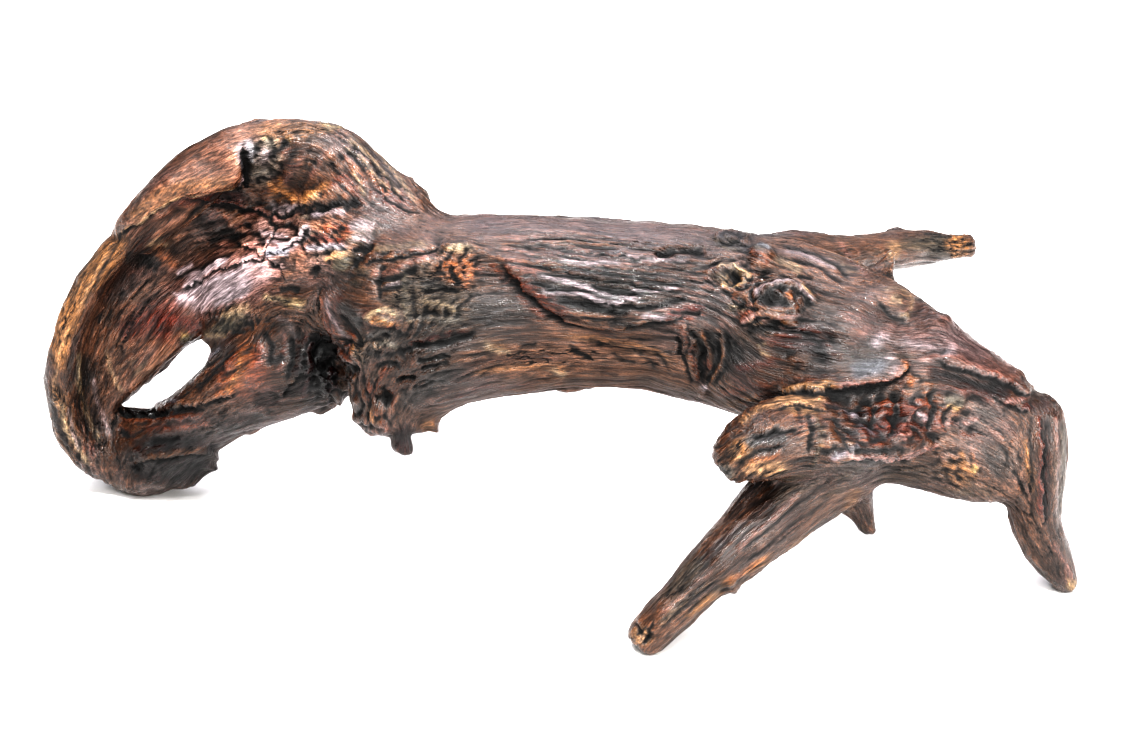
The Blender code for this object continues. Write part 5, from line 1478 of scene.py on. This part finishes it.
def oiledRootwood():
    # root wood weathered by water, then oiled: dark red brown, dull in its cracks, with a wet
    # sheen on its ridges
    material = bpy.data.materials.new("oiledRootwood")
    material.use_nodes = True
    tree = material.node_tree
    tree.nodes.clear()
    grainAt = addNode(tree, "ShaderNodeAttribute", {"attribute_name": "grain"}).outputs["Vector"]
    tone = addNode(tree, "ShaderNodeAttribute", {"attribute_name": "tone"}).outputs["Color"]
    gloss = addNode(tree, "ShaderNodeAttribute", {"attribute_name": "gloss"}).outputs["Fac"]
    crestAt = addNode(tree, "ShaderNodeAttribute", {"attribute_name": "crest"}).outputs["Fac"]

    def grainNoise(sizeMm, detail, shift, roughness=0.6):
        moved = addNode(tree, "ShaderNodeVectorMath", {"operation": "ADD"}, {0: grainAt, 1: shift})
        return addNode(tree, "ShaderNodeTexNoise", None, {
            "Vector": moved.outputs[0], "Scale": 1000 / sizeMm, "Detail": detail,
            "Roughness": roughness}).outputs["Fac"]

    at = addNode(tree, "ShaderNodeTexCoord").outputs["Object"]
    grit = addNode(tree, "ShaderNodeTexNoise", None, {
        "Vector": at, "Scale": 1000 / rootwood["gritMm"], "Detail": 2.0}).outputs["Fac"]

    def spread(value, low, high, toLow, toHigh):
        return addNode(tree, "ShaderNodeMapRange", {"interpolation_type": "SMOOTHSTEP"}, {
            "Value": value, "From Min": low, "From Max": high, "To Min": toLow,
            "To Max": toHigh}).outputs["Result"]

    def join(operation, a, b):
        return addNode(tree, "ShaderNodeMath", {"operation": operation}, {0: a, 1: b}).outputs[0]

    def crestLine(value):
        return addNode(tree, "ShaderNodeMath", {"operation": "ABSOLUTE"}, {
            0: join("SUBTRACT", value, 0.5)}).outputs[0]

    fibre = grainNoise(rootwood["fibreMm"], 3.0, (0, 0, 0))
    streak = grainNoise(rootwood["streakMm"], 3.0, (3, 1, 2), 0.65)
    pore = grainNoise(rootwood["poreMm"], 1.0, (2, 3, 1))
    wave = crestLine(grainNoise(rootwood["waveMm"], 2.0, (5, 2, 1)))
    split = crestLine(grainNoise(rootwood["crackMm"], 3.0, (4, 3, 1), 0.55))
    where = grainNoise(rootwood["patchMm"], 2.0, (4, 5, 1))
    crack = join("MULTIPLY", spread(split, 0.005, 0.038, 1.0, 0.0),
                 spread(where, 0.52, 0.62, 0.0, 1.0))
    dull = spread(gloss, 0.15, 0.45, 0.0, 1.0)
    crack = join("MULTIPLY", crack, spread(dull, 0.0, 0.6, 0.25, 1.0))

    layers = {"streak": streak, "fibre": fibre, "pore": pore, "wave": wave, "grit": grit,
              "crest": crestAt, "crack": crack}
    shade = 1.0
    for name, reach in rootwood["shades"].items():
        shade = join("MULTIPLY", shade, spread(layers[name], *reach))
    colour = addNode(tree, "ShaderNodeVectorMath", {"operation": "SCALE"}, {
        0: tone, "Scale": shade}).outputs[0]
    rough = gloss
    for name, reach in rootwood["roughens"].items():
        rough = join("ADD", rough, spread(layers[name], *reach))
    tall = {name: join("MULTIPLY", layers[name], share)
            for name, share in rootwood["heights"].items()}
    high = join("ADD", join("ADD", tall["fibre"], tall["grit"]), tall["streak"])
    high = join("SUBTRACT", high, tall["wave"])
    high = join("MULTIPLY", high, spread(dull, 0.0, 1.0, 0.5, 1.0))
    high = join("SUBTRACT", high, tall["crack"])
    bump = addNode(tree, "ShaderNodeBump", None, {
        "Strength": 1.0, "Distance": rootwood["bumpMm"] / 1000, "Height": high})
    skin = addNode(tree, "ShaderNodeBsdfPrincipled", None, {
        "Base Color": colour, "Roughness": rough, "Normal": bump.outputs["Normal"],
        "IOR": rootwood["ior"], "Specular IOR Level": rootwood["specular"]})
    addNode(tree, "ShaderNodeOutputMaterial", None, {"Surface": skin.outputs["BSDF"]})
    return material


body.data.materials.append(oiledRootwood())
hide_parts("driftwood")
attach(body, "root")
print("driftwood: finish laid")


# floor, light and camera

studio = {
    "paper": "#e4e3e1",
    "paperRough": 0.9,
    "half": 14.0,           # metres from the middle of the paper to its edge
    "world": 0.2,
    "leftPanel": {"turn": (38, -24, 0), "spread": 20, "power": 1.2},   # soft panels, high in front
    "rightPanel": {"turn": (30, 24, 0), "spread": 20, "power": 0.9},
    "frontPanel": {"turn": (66, 20, 0), "spread": 24, "power": 1.1},   # low, for under the hood
    "key": {"turn": (26, -12, 0), "spread": 3, "power": 2.9},          # small lamp for the glints
    "top": {"place": (0.0, 0.2, 1.5), "size": (1.6, 0.7), "power": 18, "tint": "#f6f3f8"},
    "side": {"place": (1.25, -0.95, 0.42), "size": (0.8, 0.8), "power": 24, "tint": "#fbf8f7"},
    "back": {"place": (0.1, 1.1, 1.1), "size": (1.6, 0.7), "power": 12, "tint": "#f3f2fb"},
}


def studioPaper():
    # matt white background paper
    material = bpy.data.materials.new("backgroundPaper")
    material.use_nodes = True
    skin = material.node_tree.nodes["Principled BSDF"]
    skin.inputs["Base Color"].default_value = hexToLinear(studio["paper"]) + [1]
    skin.inputs["Roughness"].default_value = studio["paperRough"]
    return material


def layFloor():
    mesh = bpy.data.meshes.new("studioFloor")
    half = studio["half"]
    mesh.from_pydata([(-half, -half, 0), (half, -half, 0), (half, half, 0), (-half, half, 0)], [],
                     [(0, 1, 2, 3)])
    floor = bpy.data.objects.new("studioFloor", mesh)
    bpy.context.scene.collection.objects.link(floor)
    mesh.materials.append(studioPaper())


def hangLight(name, lamp):
    light = bpy.data.lights.new(name, "AREA")
    light.shape = "RECTANGLE"
    light.size, light.size_y = lamp["size"]
    light.energy = lamp["power"]
    light.color = hexToLinear(lamp["tint"])
    holder = bpy.data.objects.new(name, light)
    bpy.context.scene.collection.objects.link(holder)
    holder.location = lamp["place"]
    aim = Vector((0, 0, 0.1)) - holder.location
    holder.rotation_euler = aim.to_track_quat("-Z", "Y").to_euler()


def hangSun(name, lamp):
    light = bpy.data.lights.new(name, "SUN")
    light.energy = lamp["power"]
    light.angle = math.radians(lamp["spread"])
    holder = bpy.data.objects.new(name, light)
    bpy.context.scene.collection.objects.link(holder)
    holder.rotation_euler = [math.radians(a) for a in lamp["turn"]]


def lookThrough():
    data = bpy.data.cameras.new("frontCamera")
    data.lens = viewPoint["lens"]
    data.sensor_width = viewPoint["sensor"]
    data.sensor_fit = "HORIZONTAL"
    data.clip_end = 100
    holder = bpy.data.objects.new("frontCamera", data)
    bpy.context.scene.collection.objects.link(holder)
    holder.location = viewPoint["place"]
    holder.rotation_euler = (math.radians(90 - viewPoint["tilt"]), 0, 0)
    bpy.context.scene.camera = holder


layFloor()
hangSun("leftPanel", studio["leftPanel"])
hangSun("rightPanel", studio["rightPanel"])
hangSun("frontPanel", studio["frontPanel"])
hangSun("keyLight", studio["key"])
hangLight("topLight", studio["top"])
hangLight("sideLight", studio["side"])
hangLight("backLight", studio["back"])
sky = bpy.data.worlds.new("studioAir")
sky.use_nodes = True
sky.node_tree.nodes["Background"].inputs["Color"].default_value = (1, 1, 1, 1)
sky.node_tree.nodes["Background"].inputs["Strength"].default_value = studio["world"]
bpy.context.scene.world = sky
bpy.context.scene.view_settings.view_transform = "Standard"
bpy.context.scene.view_settings.look = "Very High Contrast"
lookThrough()
print("driftwood: studio set")
